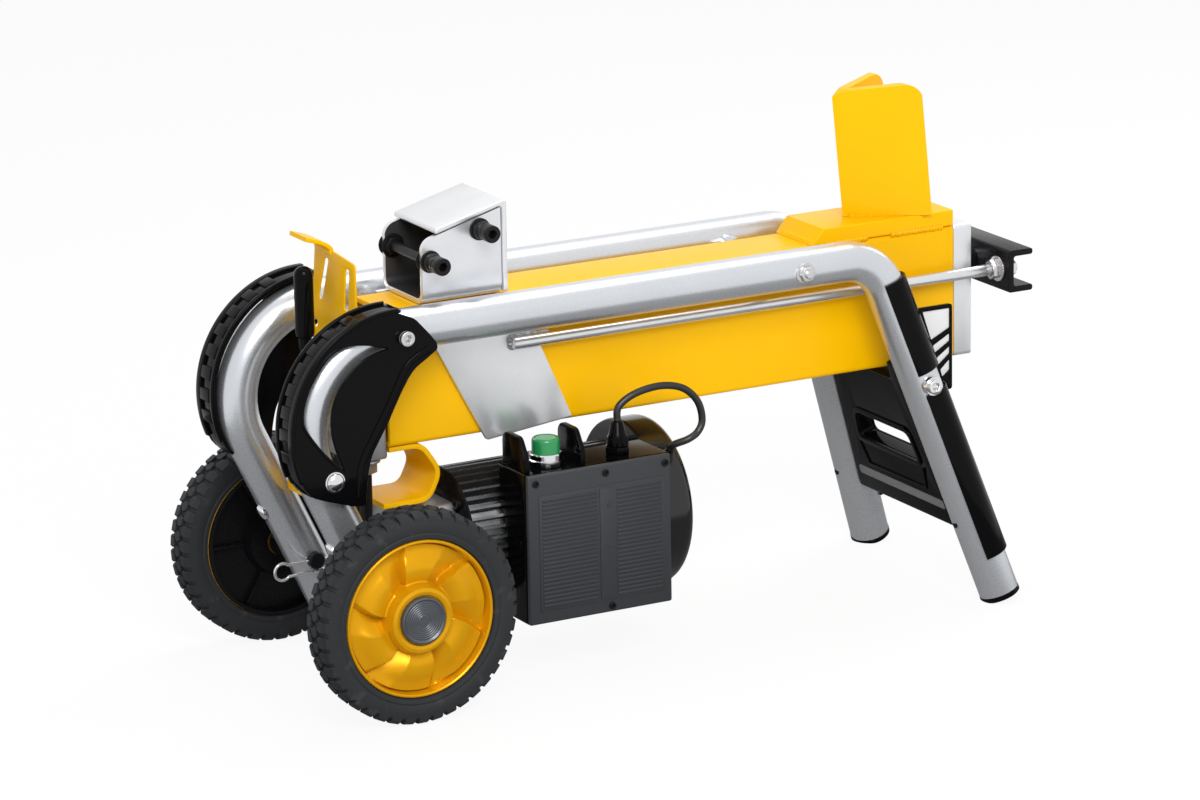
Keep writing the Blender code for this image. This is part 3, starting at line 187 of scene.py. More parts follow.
# Rear panel and strips
PANEL_Z = (0.069, 0.214)
PANEL_EAR_Z = 0.232
PANEL_EAR_Y = 0.046
PANEL_OPENING_Z = (0.130, 0.158)
PANEL_OPENING_HALF = 0.047
PANEL_OPENING_FLARE = 0.006
PANEL_OPENING_CORNER = 0.008
PANEL_THICKNESS = 0.016
PANEL_CLEAR = 0.0006
PANEL_RIM = (0.005, 0.011)
PANEL_RIM_TOP = 0.004
PANEL_RELIEF = (-0.001, 0.0018)
# Half of the raised line: places across and up.
PANEL_LINE = ((0.0520, 0.1015), (0.0580, 0.1240), (0.0560, 0.1240), (0.0505, 0.1035))
# Heights of the raised grey band: a painted highlight where light catches a step on the panel.
PANEL_BAND_Z = (0.086, 0.095)
PANEL_BAND_INSET = 0.010
PANEL_BAND_RELIEF = (-0.001, 0.0010)
# The strips run below and above the leg bolt, round the outer and back side of the tube.
STRIP_Z = ((0.046, 0.2085), (0.2275, 0.316))
STRIP_ANGLES = {-1: (45, 205), 1: (135, -25)}
STRIP_RADII = (0.0193, 0.0221)
WING_Y = (0.0755, 0.0795)
WING_Z = (0.202, 0.285)
WING_ROOT = 0.0215
WING_END_X = 0.570
WING_CELL_ROOT = 0.030
WING_CELL_MARGIN = 0.003
# Each cell: height of its lower and upper edge at the leg, then at the free end.
WING_CELLS = ((0.2150, 0.2225, 0.2210, 0.2315), (0.2275, 0.2345, 0.2370, 0.2440),
              (0.2395, 0.2470, 0.2490, 0.2565), (0.2525, 0.2810, 0.2620, 0.2810))
WING_INSERT_Y = (0.0767, 0.0783)
# A black disc on each rear leg: painted shade that stands for a hole.
LEG_HOLE_Z = 0.078
LEG_HOLE_REACH = 0.0199
LEG_HOLE = ((0, 0.0004), (0.0032, 0.0004), (0.0036, 0.0), (0.0036, -0.003), (0, -0.003))

# Wheels: each profile is a run of radius and place across, outward from the wheel's middle
AXLE_X = -0.037
WHEEL_RADIUS = 0.098
WHEEL_Y = 0.144
WHEEL_HALF = 0.019
TYRE_WALL = ((0.0728, 0.0150), (0.0740, 0.0172), (0.0775, 0.0180), (0.0790, 0.0174), (0.0805, 0.0182),
             (0.0880, 0.0188), (0.0915, 0.0178), (0.0938, 0.0150), (0.0948, 0.0100))
TREAD_BLOCKS = 42
TREAD_TOP = 0.0978
TREAD_SHOULDER = (0.0118, 0.0070, 0.0042)
# Outlines of a tread block in the middle and of one at the side: share of the pitch, and place across.
TREAD_MIDDLE = ((-0.40, 0.0), (-0.22, 0.0046), (0.22, 0.0046), (0.40, 0.0), (0.22, -0.0046), (-0.22, -0.0046))
TREAD_SIDE = ((-0.25, 0.0058), (0.25, 0.0058), (0.38, 0.0095), (0.36, 0.0140), (0.36, 0.0184),
              (-0.36, 0.0184), (-0.36, 0.0140), (-0.38, 0.0095))
# Levels of a tread block: how deep it lies, and its share of the outline along and across.
TREAD_LEVELS = ((0.0050, 1.0, 1.0), (0.0006, 0.96, 0.97), (0.0, 0.88, 0.92))
AXLE_RADIUS = 0.008
AXLE_COLLAR_RADIUS = 0.013
AXLE_END_Y = 0.0465
HUB_BORE = 0.0083
RIM_FRONT = ((HUB_BORE, 0.019), (0.0225, 0.019), (0.0235, 0.0205), (0.0265, 0.0215), (0.0295, 0.0205),
             (0.0312, 0.0170), (0.0325, 0.0120))
RIM_SPOKE_START = (0.0340, 0.0040)
RIM_SPOKE_STEP = 0.00275
RIM_SPOKE_POINTS = 13
RIM_EDGE = ((0.0682, 0.0060), (0.0690, 0.0120), (0.0696, 0.0158), (0.0708, 0.0166), (0.0720, 0.0160),
            (0.0727, 0.0140))
RIM_BACK = ((0.0727, -0.0150), (0.0700, -0.0160), (0.0685, -0.0050), (0.0320, -0.0060), (0.0290, -0.019),
            (HUB_BORE, -0.019))
# A thin shell over the rim's back, drawn in black: painted shade for the wheel's hollow inside. The ring
# below carries the same painted shade onto the hub's back.
RIM_SHADE_LINER = ((0.0294, -0.0186), (0.0325, -0.0064), (0.0682, -0.0054), (0.0698, -0.0163), (0.0724, -0.0154),
             (0.0724, -0.0166), (0.0688, -0.0175), (0.0672, -0.0066), (0.0335, -0.0076), (0.0306, -0.0188))
HUB_SHADE_RING = ((0.0136, -0.0191), (0.0300, -0.0191), (0.0306, -0.0198), (0.0136, -0.0198))
RIM_RIB = ((0.0340, -0.0012, 0.0066), (0.0668, 0.0012, 0.0130))
RIM_SPOKES = 6
RIM_TURN = math.radians(6.5)
RIM_RISE = 0.36
RIM_DROP = 0.06
RIM_SWEEP = (0.20, 1.3)
RIM_LIFT = 0.0105
CAP_FACE = 0.0226
CAP_GROOVES = 7
CAP_GROOVE_START = 0.0050
CAP_GROOVE_STEP = 0.0020
CAP_GROOVE = ((0.0, 0.0), (0.0005, -0.0003), (0.0012, -0.0003), (0.0017, 0.0))
CAP_EDGE = ((0.0200, 0.0238), (0.0212, 0.0234), (0.0220, 0.0220), (0.0220, 0.0192), (0, 0.0192))
CLIP_Y = 0.0510
CLIP_WIRE = 0.0014
CLIP_SHANK = ((0.026, 0), (0.010, 0), (-0.012, 0), (-0.024, 0))
CLIP_EYE = ((-0.034, -0.006), 0.008, 48, 318)
CLIP_SPRING = ((-0.020, -0.0108), (-0.010, -0.0098), (-0.004, -0.0112), (0.004, -0.0112), (0.010, -0.0098),
               (0.020, -0.0128))

# Ram
ROD_Z = 0.302
ROD_RADIUS = 0.0055
ROD_Y = 0.0454
ROD_X = (0.121, 0.662)
ROD_RIDGES = 10
ROD_RIDGE_START = 0.0015
ROD_RIDGE_STEP = 0.0028
ROD_WELD_LENGTH = 0.040
ROD_WELD_RADIUS = 0.0022
ROD_END_WELD_RADIUS = 0.0030
PISTON_RADIUS = 0.0197
PISTON_X = (0.020, 0.045)
PISTON_ROD_RADIUS = 0.010
PLATE_Y = (0.0346, 0.0396)
NUT = (0.0095, 0.0094)
CROSS_X = (0.643, 0.670)
CROSS_HALF_HEIGHT = 0.0205
CROSS_HALF_WIDTH = 0.064
CROSS_WALL = 0.006
SIDE_PLATE = ((0.0244, 0.3472), (0.0958, 0.2137), (0.184, 0.2232), (0.130, 0.3472))
PUSHER_X = (0.034, 0.1147)
PUSHER_FACE = 0.005
PUSHER_FACE_RISE = 0.003
PUSHER_FACE_CORNER = 0.0045
PUSHER_FLOOR_Z = 0.3476
PUSHER_WALL = 0.005
PUSHER_BENDS = (0.012, 0.007)
PUSHER_SPARE = 0.02
PUSHER_TOP_Z = (0.4120, 0.4305)
PUSHER_TOP_FRONT_X = 0.0475
PUSHER_TOP_HALF = 0.041
PUSHER_TOP_GAP = 0.0014
PUSHER_BOLTS = {"low": (0.042, 0.388), "high": (0.0925, 0.4115)}
PUSHER_WASHER = 0.0102
PUSHER_PEG = ((0, 0.0140), (0.0066, 0.0140), (0.0066, 0.0112), (0.0080, 0.0104), (0.0084, 0.0094),
              (0.0084, 0.002), (0, 0.002))
PUSHER_SCREW_OUT = 0.0132
PUSHER_SCREW = (0.0080, 0.0130)
PUSHER_SHANK = (0.005, 0.008)
PUSHER_NUT_RADIUS = 0.0088
PUSHER_NUT_HEIGHTS = (0.0060, 0.0050)

# Controls
BLOCK_X = (-0.036, -0.0003)
BLOCK_HALF = 0.030
BLOCK_Z = (0.208, 0.340)
BLOCK_ROUNDING = 0.003
BLOCK_SLOT_HALF = (0.0075, 0.0125)
BLOCK_CHEEK_HALF = 0.016
BLOCK_SCREWS = ((-0.020, 0.228), (0.018, 0.228), (0.018, 0.256), (-0.018, 0.262))
BODY_SCREW = (0.0055, 0.006)
BLOCK_PORT = (0.011, 0.0124)
LEVER_PIVOT = (-0.030, 0.298)
LEVER_X = -0.065
LEVER_TOP_Z = 0.390
LEVER_RADIUS = 0.006
GRIP_RADIUS = 0.0088
LEVER_BEND = 0.020
LEVER_FOOT = 0.008
# How far below the lever's top its points lie, on the shank and on the grip.
LEVER_SHANK = (0.068, 0.066, 0.064, 0.060)
LEVER_GRIP = (0.050, 0.035, 0.020, 0.008, 0.005, 0.0028, 0.0012, 0.0004, 0.0)
GRIP_SHOULDER = 0.0082
GRIP_DOME = (0.008, 0.0081)
LEVER_GUARD_X = (-0.0392, -0.0374)
LEVER_GUARD = ((0.042, 0.312), (-0.030, 0.312), (-0.030, 0.336), (-0.052, 0.356), (-0.052, 0.398),
               (0.028, 0.405))
# Each slot: its Y at the foot and at the top, and their heights.
LEVER_GUARD_SLOTS = ((0.0205, 0.0050, 0.352, 0.393), (-0.0315, -0.0365, 0.352, 0.391))
SLOT_HALF = 0.004
LEVER_GUARD_HOLE = ((0.032, 0.328), 0.0045)
GUARD_LIP = ((-0.0383, 0.0107, 0.3985), (-0.0400, 0.0107, 0.4045), (-0.0500, 0.0107, 0.4105),
             (-0.0640, 0.0107, 0.4150))
GUARD_LIP_HALF = (0.0167, 0.002)
BRACKET_PATH = ((0.001, 0.2162), (0.034, 0.2162), (0.052, 0.189), (0.040, 0.1640), (-0.006, 0.1640))
BRACKET_SHEET = 0.005
BRACKET_HALF = 0.030
BRACKET_BEND = 0.010
PIPE_Y = -0.018
PIPE_RADIUS = 0.006
PIPE_ROUTE = ((-0.018, 0.1950), (-0.018, 0.170), (-0.018, 0.146), (-0.012, 0.130), (-0.005, 0.1265),
              (0.0008, 0.1265))

# Motor and pump
MOTOR_Y = -0.008
MOTOR_Z = 0.122
MOTOR_X = (0.0663, 0.250)
MOTOR_CORE_RADIUS = 0.054
MOTOR_FIN_RADIUS = 0.062
MOTOR_FINS = 40
# Corners of one fin: share of the pitch, and radius.
MOTOR_FIN = ((0.0, MOTOR_FIN_RADIUS), (0.26, MOTOR_FIN_RADIUS), (0.36, MOTOR_CORE_RADIUS),
             (0.90, MOTOR_CORE_RADIUS))
SHAFT_BORE = 0.0085
SHIELD_RADIUS = 0.064
SHIELD_SCREW_RING = 0.054
SHIELD_SCREW = (0.005, 0.005)
FAN_COVER_RADIUS = 0.080
FAN_COVER_X = (0.2503, 0.287)
FAN_COVER_ROUNDING = 0.012
FAN_COVER_BORE = 0.050
FAN_RINGS = (0.022, 0.034, 0.046, 0.058)
FAN_RING_WIDTH = 0.0040
PUMP_X = (0.002, 0.062)
PUMP_HALF = 0.036
PUMP_Z = (0.084, 0.161)
PUMP_ROUNDING = 0.006
PUMP_SCREW_Y = 0.026
PUMP_SCREW_INSET = 0.010

# Switch box
BOX_X = (0.098, 0.246)
BOX_Y = (-0.106, -0.056)
BOX_Z = (0.055, 0.196)
BOX_BED_ANGLES = (219.6, 140.4)
BOX_FINS_X = (0.100, 0.157)
BOX_FIN_WIDTH = 0.005
BOX_FIN = ((-0.104, 0.194), (-0.060, 0.194), (-0.060, 0.222), (-0.066, 0.228), (-0.092, 0.228),
           (-0.104, 0.210))
BOX_TAB_Y = (-0.098, -0.084)
BOX_TAB_Z = (0.125, 0.132)
COVER_BACK_Y = -0.1063
COVER_FACE_Y = -0.1116
COVER_FIELD_X = (0.109, 0.239)
COVER_FIELD_Z = (0.067, 0.176)
COVER_COLUMNS = ((0.112, 0.169), (0.189, 0.236))
COVER_STRIP_X = (0.1712, 0.1868)
COVER_RIBS = 26
COVER_RIB_MARGIN = 0.003
COVER_RIB_SHARE = (0.14, 0.86)
COVER_DIMPLE_X = 0.181
COVER_DIMPLES_Z = (0.158, 0.120)
COVER_DIMPLE = ((0, 0.0005), (0.0026, 0.0005), (0.0030, 0), (0, 0))
COVER_SCREWS = ((0.106, 0.188), (0.178, 0.188), (0.240, 0.188), (0.183, 0.061))
COVER_SCREW = (0.0034, 0.0024)
BUTTON_AT = (0.132, -0.084)
BUTTON_RADIUS = 0.013
BUTTON_Z = (0.190, 0.222)
COLLAR_RADIUS = 0.0165
COLLAR_TOP_Z = 0.208
GLAND_AT = (0.206, -0.084)
GLAND_TOP_Z = 0.226
GLAND_HEX = 0.0122
GLAND_HEX_TOP = 0.007
GLAND_RIBS = 12
GLAND_RIB_RING = 0.0092
GLAND_RIB_DROP = 0.0185
GLAND_RIB_HALF = Vector((0.0011, 0.0011, 0.0035))
# The gland's profile: radius, and how far below its top.
GLAND = ((0, 0), (0.0048, 0), (0.0056, 0.001), (0.0078, 0.012), (0.0095, 0.015), (0.0100, 0.022), (0, 0.022))
LEAD_RADIUS = 0.0034
LEAD_END_X = 0.266
LEAD_END_ANGLE = math.radians(136.0)
LEAD_OUTWARD = Vector((0, math.cos(LEAD_END_ANGLE), math.sin(LEAD_END_ANGLE)))
LEAD_GLAND = 0.0145
LEAD_GLAND_PROFILE = ((0, 0.0155), (0.0042, 0.0155), (0.0068, 0.007), (0.0074, 0.006), (0.0074, 0), (0, 0))
LEAD_ROUTE = ((0.206, -0.084, 0.2263), (0.208, -0.084, 0.239), (0.224, -0.085, 0.249), (0.250, -0.086, 0.253),
              (0.273, -0.087, 0.248), (0.288, -0.088, 0.234), (0.293, -0.088, 0.216), (0.288, -0.089, 0.205),
              (0.277, -0.090, 0.1995))
LEAD_LAST = (0.009, 0.001)

# Views that a flat outline can be drawn in: its first axis, its second and its depth
VIEWS = {
    "side": Matrix(((1, 0, 0), (0, 0, -1), (0, 1, 0))),
    "end": Matrix(((0, 0, 1), (1, 0, 0), (0, 1, 0))),
    "top": Matrix.Identity(3),
}


# Materials

def set_inputs(tree, node, inputs):
    """Set a node's inputs to values, or link them to other nodes' outputs."""
    for name, value in inputs.items():
        if isinstance(value, bpy.types.NodeSocket):
            tree.links.new(value, node.inputs[name])
        else:
            node.inputs[name].default_value = value
    return node


def add_node(tree, kind, inputs=None, **settings):
    """A new shader node with its settings and inputs."""
    made = tree.nodes.new("ShaderNode" + kind)
    for name, value in settings.items():
        setattr(made, name, value)
    return set_inputs(tree, made, inputs or {})


def new_material(name):
    """A material with nodes, and its node tree."""
    made = bpy.data.materials.new(name)
    made.use_nodes = True
    return made, made.node_tree


def noise_field(tree, coords, scale, detail, stretch=(1.0, 1.0, 1.0)):
    """The values of a noise texture at a scale, stretched along the axes."""
    mapping = add_node(tree, "Mapping", {"Scale": stretch, "Vector": coords})
    texture = add_node(tree, "TexNoise", {
        "Scale": scale, "Detail": detail, "Vector": mapping.outputs["Vector"]})
    return texture.outputs["Fac"]


def mix_colours(tree, share, first, second):
    """A colour between two, by a share."""
    mixed = add_node(tree, "Mix", {"A": first, "B": second, "Factor": share}, data_type="RGBA")
    return mixed.outputs["Result"]


def finish(name, colour, rough, metallic=0.0, tint=0.08, spread=0.06, blotch=(14.0, 4.0),
           grain=(900.0, 2.0), stretch=(1.0, 1.0, 1.0), bump=0.04, coat=0.0, specular=0.5, worn=None):
    """A material with blotches in its colour, a fine grain in its gloss and relief, and wear where given."""
    made, tree = new_material(name)
    coords = add_node(tree, "TexCoord").outputs["Object"]
    fine = noise_field(tree, coords, *grain, stretch)
    dark = (*(c * (1 - tint) for c in colour), 1.0)
    light = (*(min(c * (1 + tint), 1.0) for c in colour), 1.0)
    tone = mix_colours(tree, noise_field(tree, coords, *blotch), dark, light)
    if worn:
        shade, low, high = worn
        patches = noise_field(tree, coords, blotch[0] * WEAR_SCALE, WEAR_DETAIL)
        edge = add_node(tree, "MapRange", {"From Min": low, "From Max": high, "Value": patches})
        tone = mix_colours(tree, edge.outputs["Result"], tone, (*shade, 1.0))
    least = max(rough - spread, LEAST_ROUGHNESS)
    gloss = add_node(tree, "MapRange", {"To Min": least, "To Max": rough + spread, "Value": fine})
    relief = add_node(tree, "Bump", {"Strength": bump, "Distance": RELIEF_DEPTH, "Height": fine})
    set_inputs(tree, tree.nodes["Principled BSDF"], {
        "Base Color": tone, "Metallic": metallic, "Roughness": gloss.outputs["Result"],
        "Normal": relief.outputs["Normal"], "Specular IOR Level": specular, "Coat Weight": coat,
        "Coat Roughness": COAT_ROUGHNESS})
    return made


YELLOW = finish("yellow_enamel", (0.92, 0.49, 0.0), 0.32, tint=0.05, grain=(700.0, 1.5),
                bump=0.05, coat=0.03, specular=0.10)
WELD_YELLOW = finish("painted_weld", (0.88, 0.46, 0.0), 0.30, tint=0.10, grain=(1500.0, 3.0),
                     bump=0.25, specular=0.15)
SILVER = finish("silver_tube_paint", (0.62, 0.64, 0.67), 0.28, 0.82, tint=0.05,
                grain=(2600.0, 2.0), bump=0.06)
ZINC = finish("zinc_plate", (0.74, 0.75, 0.77), 0.30, 0.72, tint=0.07, spread=0.05,
              blotch=(38.0, 6.0), grain=(420.0, 5.0), stretch=(1.0, 1.0, 0.3), bump=0.02)
# A dark copy of the zinc: painted shade for the inside of the pusher's channel.
SHADED_ZINC = finish("shaded_zinc", (0.055, 0.056, 0.060), 0.42, 0.4, tint=0.20, blotch=(38.0, 6.0),
                     bump=0.06, specular=0.2)
DRAWN_STEEL = finish("drawn_steel", (0.74, 0.75, 0.77), 0.24, 0.85, tint=0.10, spread=0.08,
                     blotch=(30.0, 5.0), grain=(900.0, 4.0), stretch=(0.06, 1.0, 1.0), bump=0.06)
FASTENER = finish("zinc_fastener", (0.60, 0.60, 0.61), 0.26, 0.95, tint=0.14, blotch=(160.0, 4.0),
                  bump=0.10)
WELD = finish("bare_weld", (0.42, 0.42, 0.44), 0.40, 0.8, tint=0.30, blotch=(240.0, 4.0),
              grain=(2400.0, 3.0), bump=0.3)
CHROME = finish("chrome", (0.74, 0.74, 0.76), 0.09, 1.0, tint=0.04, spread=0.03, bump=0.02)
GLOSS_BLACK = finish("gloss_black_plastic", (0.003, 0.003, 0.0035), 0.10, tint=0.25,
                     spread=0.04, grain=(500.0, 2.0), bump=0.03, specular=0.07)
FAN_PAINT = finish("fan_paint", (0.006, 0.006, 0.007), 0.16, tint=0.2, spread=0.04,
                   grain=(500.0, 2.0), bump=0.02, specular=0.5)
BLACK_PAINT = finish("black_paint", (0.006, 0.006, 0.007), 0.26, tint=0.2, spread=0.07,
                     grain=(650.0, 2.0), bump=0.06, specular=0.12)
DARK_FINS = finish("dark_fins", (0.10, 0.102, 0.106), 0.28, 0.8, tint=0.25, blotch=(60.0, 4.0),
                   bump=0.12)
SLATE = finish("slate_plastic", (0.022, 0.025, 0.029), 0.50, tint=0.10, spread=0.08,
               grain=(2400.0, 2.0), bump=0.18)
RUBBER = finish("tyre_rubber", (0.018, 0.0195, 0.022), 0.66, tint=0.18, spread=0.10,
                grain=(1800.0, 3.0), bump=0.2, specular=0.3, worn=((0.045, 0.046, 0.048), 0.60, 0.80))
RIM_PAINT = finish("rim_paint", (0.64, 0.31, 0.002), 0.30, 0.30, tint=0.10, grain=(1100.0, 3.0),
                   bump=0.07, specular=0.15)
CAP_GREY = finish("brushed_cap", (0.10, 0.108, 0.12), 0.34, 0.6, tint=0.15, spread=0.10,
                  grain=(420.0, 3.0), bump=0.06)
GREEN = finish("green_button", (0.015, 0.25, 0.075), 0.30, tint=0.10, grain=(1400.0, 2.0),
               bump=0.05, coat=0.2)
# A paler green: a painted highlight on the button's top.
GREEN_HIGHLIGHT_TOP = finish("green_button_painted_highlight", (0.16, 0.42, 0.22), 0.38, tint=0.08,
                   grain=(1400.0, 2.0), bump=0.08)
PVC = finish("lead_sheath", (0.012, 0.012, 0.013), 0.34, tint=0.2, grain=(1600.0, 2.0), bump=0.10)
OXIDE = finish("black_oxide", (0.012, 0.012, 0.013), 0.34, 0.4, tint=0.3, blotch=(90.0, 4.0),
               bump=0.10, specular=0.2)
ALUMINIUM = finish("cast_aluminium", (0.45, 0.45, 0.46), 0.38, 0.85, tint=0.16, blotch=(60.0, 4.0),
                   bump=0.18)
# A grey that stands for a painted highlight on the panel's step.
HIGHLIGHT_GREY_PLASTIC = finish("painted_highlight_grey", (0.16, 0.165, 0.175), 0.42, tint=0.10,
                      grain=(2000.0, 2.0), bump=0.14)
PALE_PLASTIC = finish("pale_plastic", (0.74, 0.74, 0.74), 0.30, tint=0.05,
                      grain=(1500.0, 2.0), bump=0.08)


# Building blocks

def place_object(name, data):
    """A new object in the scene."""
    made = bpy.data.objects.new(name, data)
    bpy.context.scene.collection.objects.link(made)
    return made


def add(bm, other, matrix=None):
    """Add one bmesh to another, moved by a matrix."""
    mesh = bpy.data.meshes.new("scratch")
    other.to_mesh(mesh)
    other.free()
    if matrix is not None:
        mesh.transform(matrix)
    bm.from_mesh(mesh)
    bpy.data.meshes.remove(mesh)
    return bm


def facing(direction):
    """The rotation that points Z along a direction."""
    return Vector((0, 0, 1)).rotation_difference(Vector(direction)).to_matrix()


def piece(name, bm, look, nodes=(), body="frame", angle=38.0):
    """A finished piece on a body, standing for the given nodes."""
    bmesh.ops.recalc_face_normals(bm, faces=bm.faces)
    bmesh.ops.translate(bm, verts=bm.verts, vec=(-MIDDLE_X, 0, 0))
    mesh = bpy.data.meshes.new(name)
    bm.to_mesh(mesh)
    bm.free()
    mesh.shade_smooth()
    mesh.set_sharp_from_angle(angle=math.radians(angle))
    mesh.materials.append(look)
    made = place_object(name, mesh)
    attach(made, body)
    if nodes:
        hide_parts(*nodes)
    return made


def span(side, low, high):
    """Two places across the machine on one of its sides, lowest first."""
    return sorted((side * low, side * high))


def arc(centre, radius, first, last, steps):
    """Points of an arc between two angles in degrees."""
    angles = [math.radians(first + (last - first) * i / steps) for i in range(steps + 1)]
    return [(centre[0] + radius * math.cos(a), centre[1] + radius * math.sin(a)) for a in angles]


def circle(centre, radius, steps=24):
    """A full circle as an outline."""
    return arc(centre, radius, 0, 360, steps)[:-1]


def curved_strip(centre, radii, first, last, steps):
    """The outline between two arcs about one centre."""
    return arc(centre, radii[0], first, last, steps) + arc(centre, radii[1], last, first, steps)


def hex_outline(radius):
    """A hexagon's corners."""
    return circle((0, 0), radius, 6)


def rounded_corner(before, corner, after, reach, steps):
    """Points of a soft bend from one side of a corner to the other."""
    start = corner + (before - corner).normalized() * reach
    end = corner + (after - corner).normalized() * reach
    shares = [step / steps for step in range(steps + 1)]
    return [tuple(start * (1 - t) ** 2 + corner * 2 * t * (1 - t) + end * t * t) for t in shares]


def softened(outline, radius, steps=4):
    """An outline with its corners rounded."""
    made = []
    points = [Vector(p) for p in outline]
    for index, corner in enumerate(points):
        before, after = points[index - 1], points[(index + 1) % len(points)]
        reach = min(radius, (before - corner).length * 0.45, (after - corner).length * 0.45)
        made += rounded_corner(before, corner, after, reach, steps)
    return made


def softened_path(path, radius, steps=6):
    """An open run of points with its inner corners rounded."""
    points = [Vector(p) for p in path]
    made = [path[0]]
    for before, corner, after in zip(points, points[1:], points[2:]):
        made += rounded_corner(before, corner, after, radius, steps)
    return made + [path[-1]]


def bar_section(half_width, half_height, radius, steps):
    """A rectangle with rounded corners, as a section for sweep()."""
    return softened([(-half_width, -half_height), (half_width, -half_height), (half_width, half_height),
                     (-half_width, half_height)], radius, steps)


def slab(bm, outlines, low, high, view, bevel=0.0008, rounds=1, turn=None, place=(0, 0, 0)):
    """A plate with rounded edges, drawn in a view, with holes where outlines lie inside each other."""
    curve = bpy.data.curves.new("scratch", "CURVE")
    curve.dimensions = "2D"
    curve.fill_mode = "BOTH"
    curve.extrude = (high - low) / 2 - bevel
    curve.bevel_depth = bevel
    curve.bevel_resolution = rounds
    curve.offset = -bevel
    for outline in outlines:
        spline = curve.splines.new("POLY")
        spline.points.add(len(outline) - 1)
        for corner, (across, upward) in zip(spline.points, outline):
            corner.co = (across, upward, 0.0, 1.0)
        spline.use_cyclic_u = True
    made = place_object("scratch", curve)
    mesh = bpy.data.meshes.new_from_object(made.evaluated_get(bpy.context.evaluated_depsgraph_get()))
    bpy.data.objects.remove(made, do_unlink=True)
    bpy.data.curves.remove(curve)
    axes = VIEWS[view] if turn is None else turn
    middle = Vector(place) + axes.col[2] * ((low + high) / 2 * (-1 if turn is None and view == "side" else 1))
    mesh.transform(Matrix.Translation(middle) @ axes.to_4x4())
    other = bmesh.new()
    other.from_mesh(mesh)
    bpy.data.meshes.remove(mesh)
    bmesh.ops.remove_doubles(other, verts=other.verts, dist=0.000002)
    return add(bm, other)


def block(bm, low, high, rounding=0.001, segments=3, turn=None):
    """A box with rounded edges, turned about its middle."""
    other = bmesh.new()
    size = Vector(high) - Vector(low)
    bmesh.ops.create_cube(other, size=1.0)
    bmesh.ops.scale(other, vec=size, verts=other.verts)
    width = min(rounding, min(size) * 0.45)
    bmesh.ops.bevel(other, geom=other.edges, offset=width, segments=segments, profile=0.5, affect="EDGES")
    spin = Matrix.Identity(4) if turn is None else turn.to_4x4()
    return add(bm, other, Matrix.Translation((Vector(low) + Vector(high)) / 2) @ spin)


def lathe(bm, profile, centre, axis, steps=64, closed=False, lift=None):
    """A profile of radius and height spun about an axis, its heights raised by lift() where given."""
    spin = facing(axis)
    count = len(profile)
    poles = {}
    rings = []
    for k in range(steps):
        turn = 2 * math.pi * k / steps
        ring = []
        for index, (radius, height) in enumerate(profile):
            if radius == 0 and index in poles:
                ring.append(poles[index])
                continue
            up = height + (lift(index, turn) if lift else 0.0)
            place = Vector(centre) + spin @ Vector((radius * math.cos(turn), radius * math.sin(turn), up))
            ring.append(bm.verts.new(place))
            if radius == 0:
                poles[index] = ring[-1]
        rings.append(ring)
    spans = [(i, i + 1) for i in range(count - 1)] + ([(count - 1, 0)] if closed else [])
    for k in range(steps):
        one, two = rings[k], rings[(k + 1) % steps]
        for i, j in spans:
            corners = list(dict.fromkeys((one[i], two[i], two[j], one[j])))
            if len(corners) > 2:
                bm.faces.new(corners)
    return bm


def pin(bm, radius, low, high, centre, axis, steps):
    """A plain round pin between two heights."""
    return lathe(bm, [(0, high), (radius, high), (radius, low), (0, low)], centre, axis, steps)


def sweep(bm, path, section, scales=None, hint=(0, 1, 0), caps=True):
    """A closed section run along a path without twisting."""
    points = [Vector(p) for p in path]
    side = Vector(hint)
    rings = []
    for index, point in enumerate(points):
        ahead = points[min(index + 1, len(points) - 1)] - points[max(index - 1, 0)]
        ahead.normalize()
        side = (side - ahead * side.dot(ahead)).normalized()
        other = ahead.cross(side)
        scale = scales[index] if scales else 1.0
        rings.append([bm.verts.new(point + (side * u + other * v) * scale) for u, v in section])
    count = len(section)
    for one, two in zip(rings, rings[1:]):
        for i in range(count):
            bm.faces.new((one[i], one[(i + 1) % count], two[(i + 1) % count], two[i]))
    if caps:
        bm.faces.new(rings[0])
        bm.faces.new(rings[-1])
    return bm


def tube(path, radius, sides):
    """A round bar along a path."""
    return sweep(bmesh.new(), path, circle((0, 0), radius, sides))


def smooth_route(points, steps):
    """Points along a smooth curve through the given ones."""
    ends = [Vector(p) for p in points]
    ends = [2 * ends[0] - ends[1]] + ends + [2 * ends[-1] - ends[-2]]
    route = []
    for a, b, c, d in zip(ends, ends[1:], ends[2:], ends[3:]):
        for step in range(steps):
            t = step / steps
            route.append(0.5 * (2 * b + (c - a) * t + (2 * a - 5 * b + 4 * c - d) * t * t
                                + (3 * b - a - 3 * c + d) * t ** 3))
    route.append(ends[-2])
    return route


def smooth_line(points, steps):
    """Points along a smooth flat curve through the given ones."""
    return [(p.x, p.y) for p in smooth_route([(x, y, 0) for x, y in points], steps)]


def bead(bm, start, end, radius=WELD_RADIUS):
    """A weld bead between two points: a run of overlapping ripples."""
    start, end = Vector(start), Vector(end)
    count = max(int((end - start).length / WELD_PITCH) * 4, 8)
    path, scales = [], []
    for k in range(count + 1):
        point = start.lerp(end, k / count)
        jitter = noise.noise(point * 300) * 0.25
        path.append(point)
        scales.append((1.0 + 0.16 * math.cos(k * math.pi / 2) + jitter) * (0.35 if k in (0, count) else 1.0))
    return sweep(bm, path, circle((0, 0), radius, 10), scales, hint=(0.3, 0.4, 0.86))


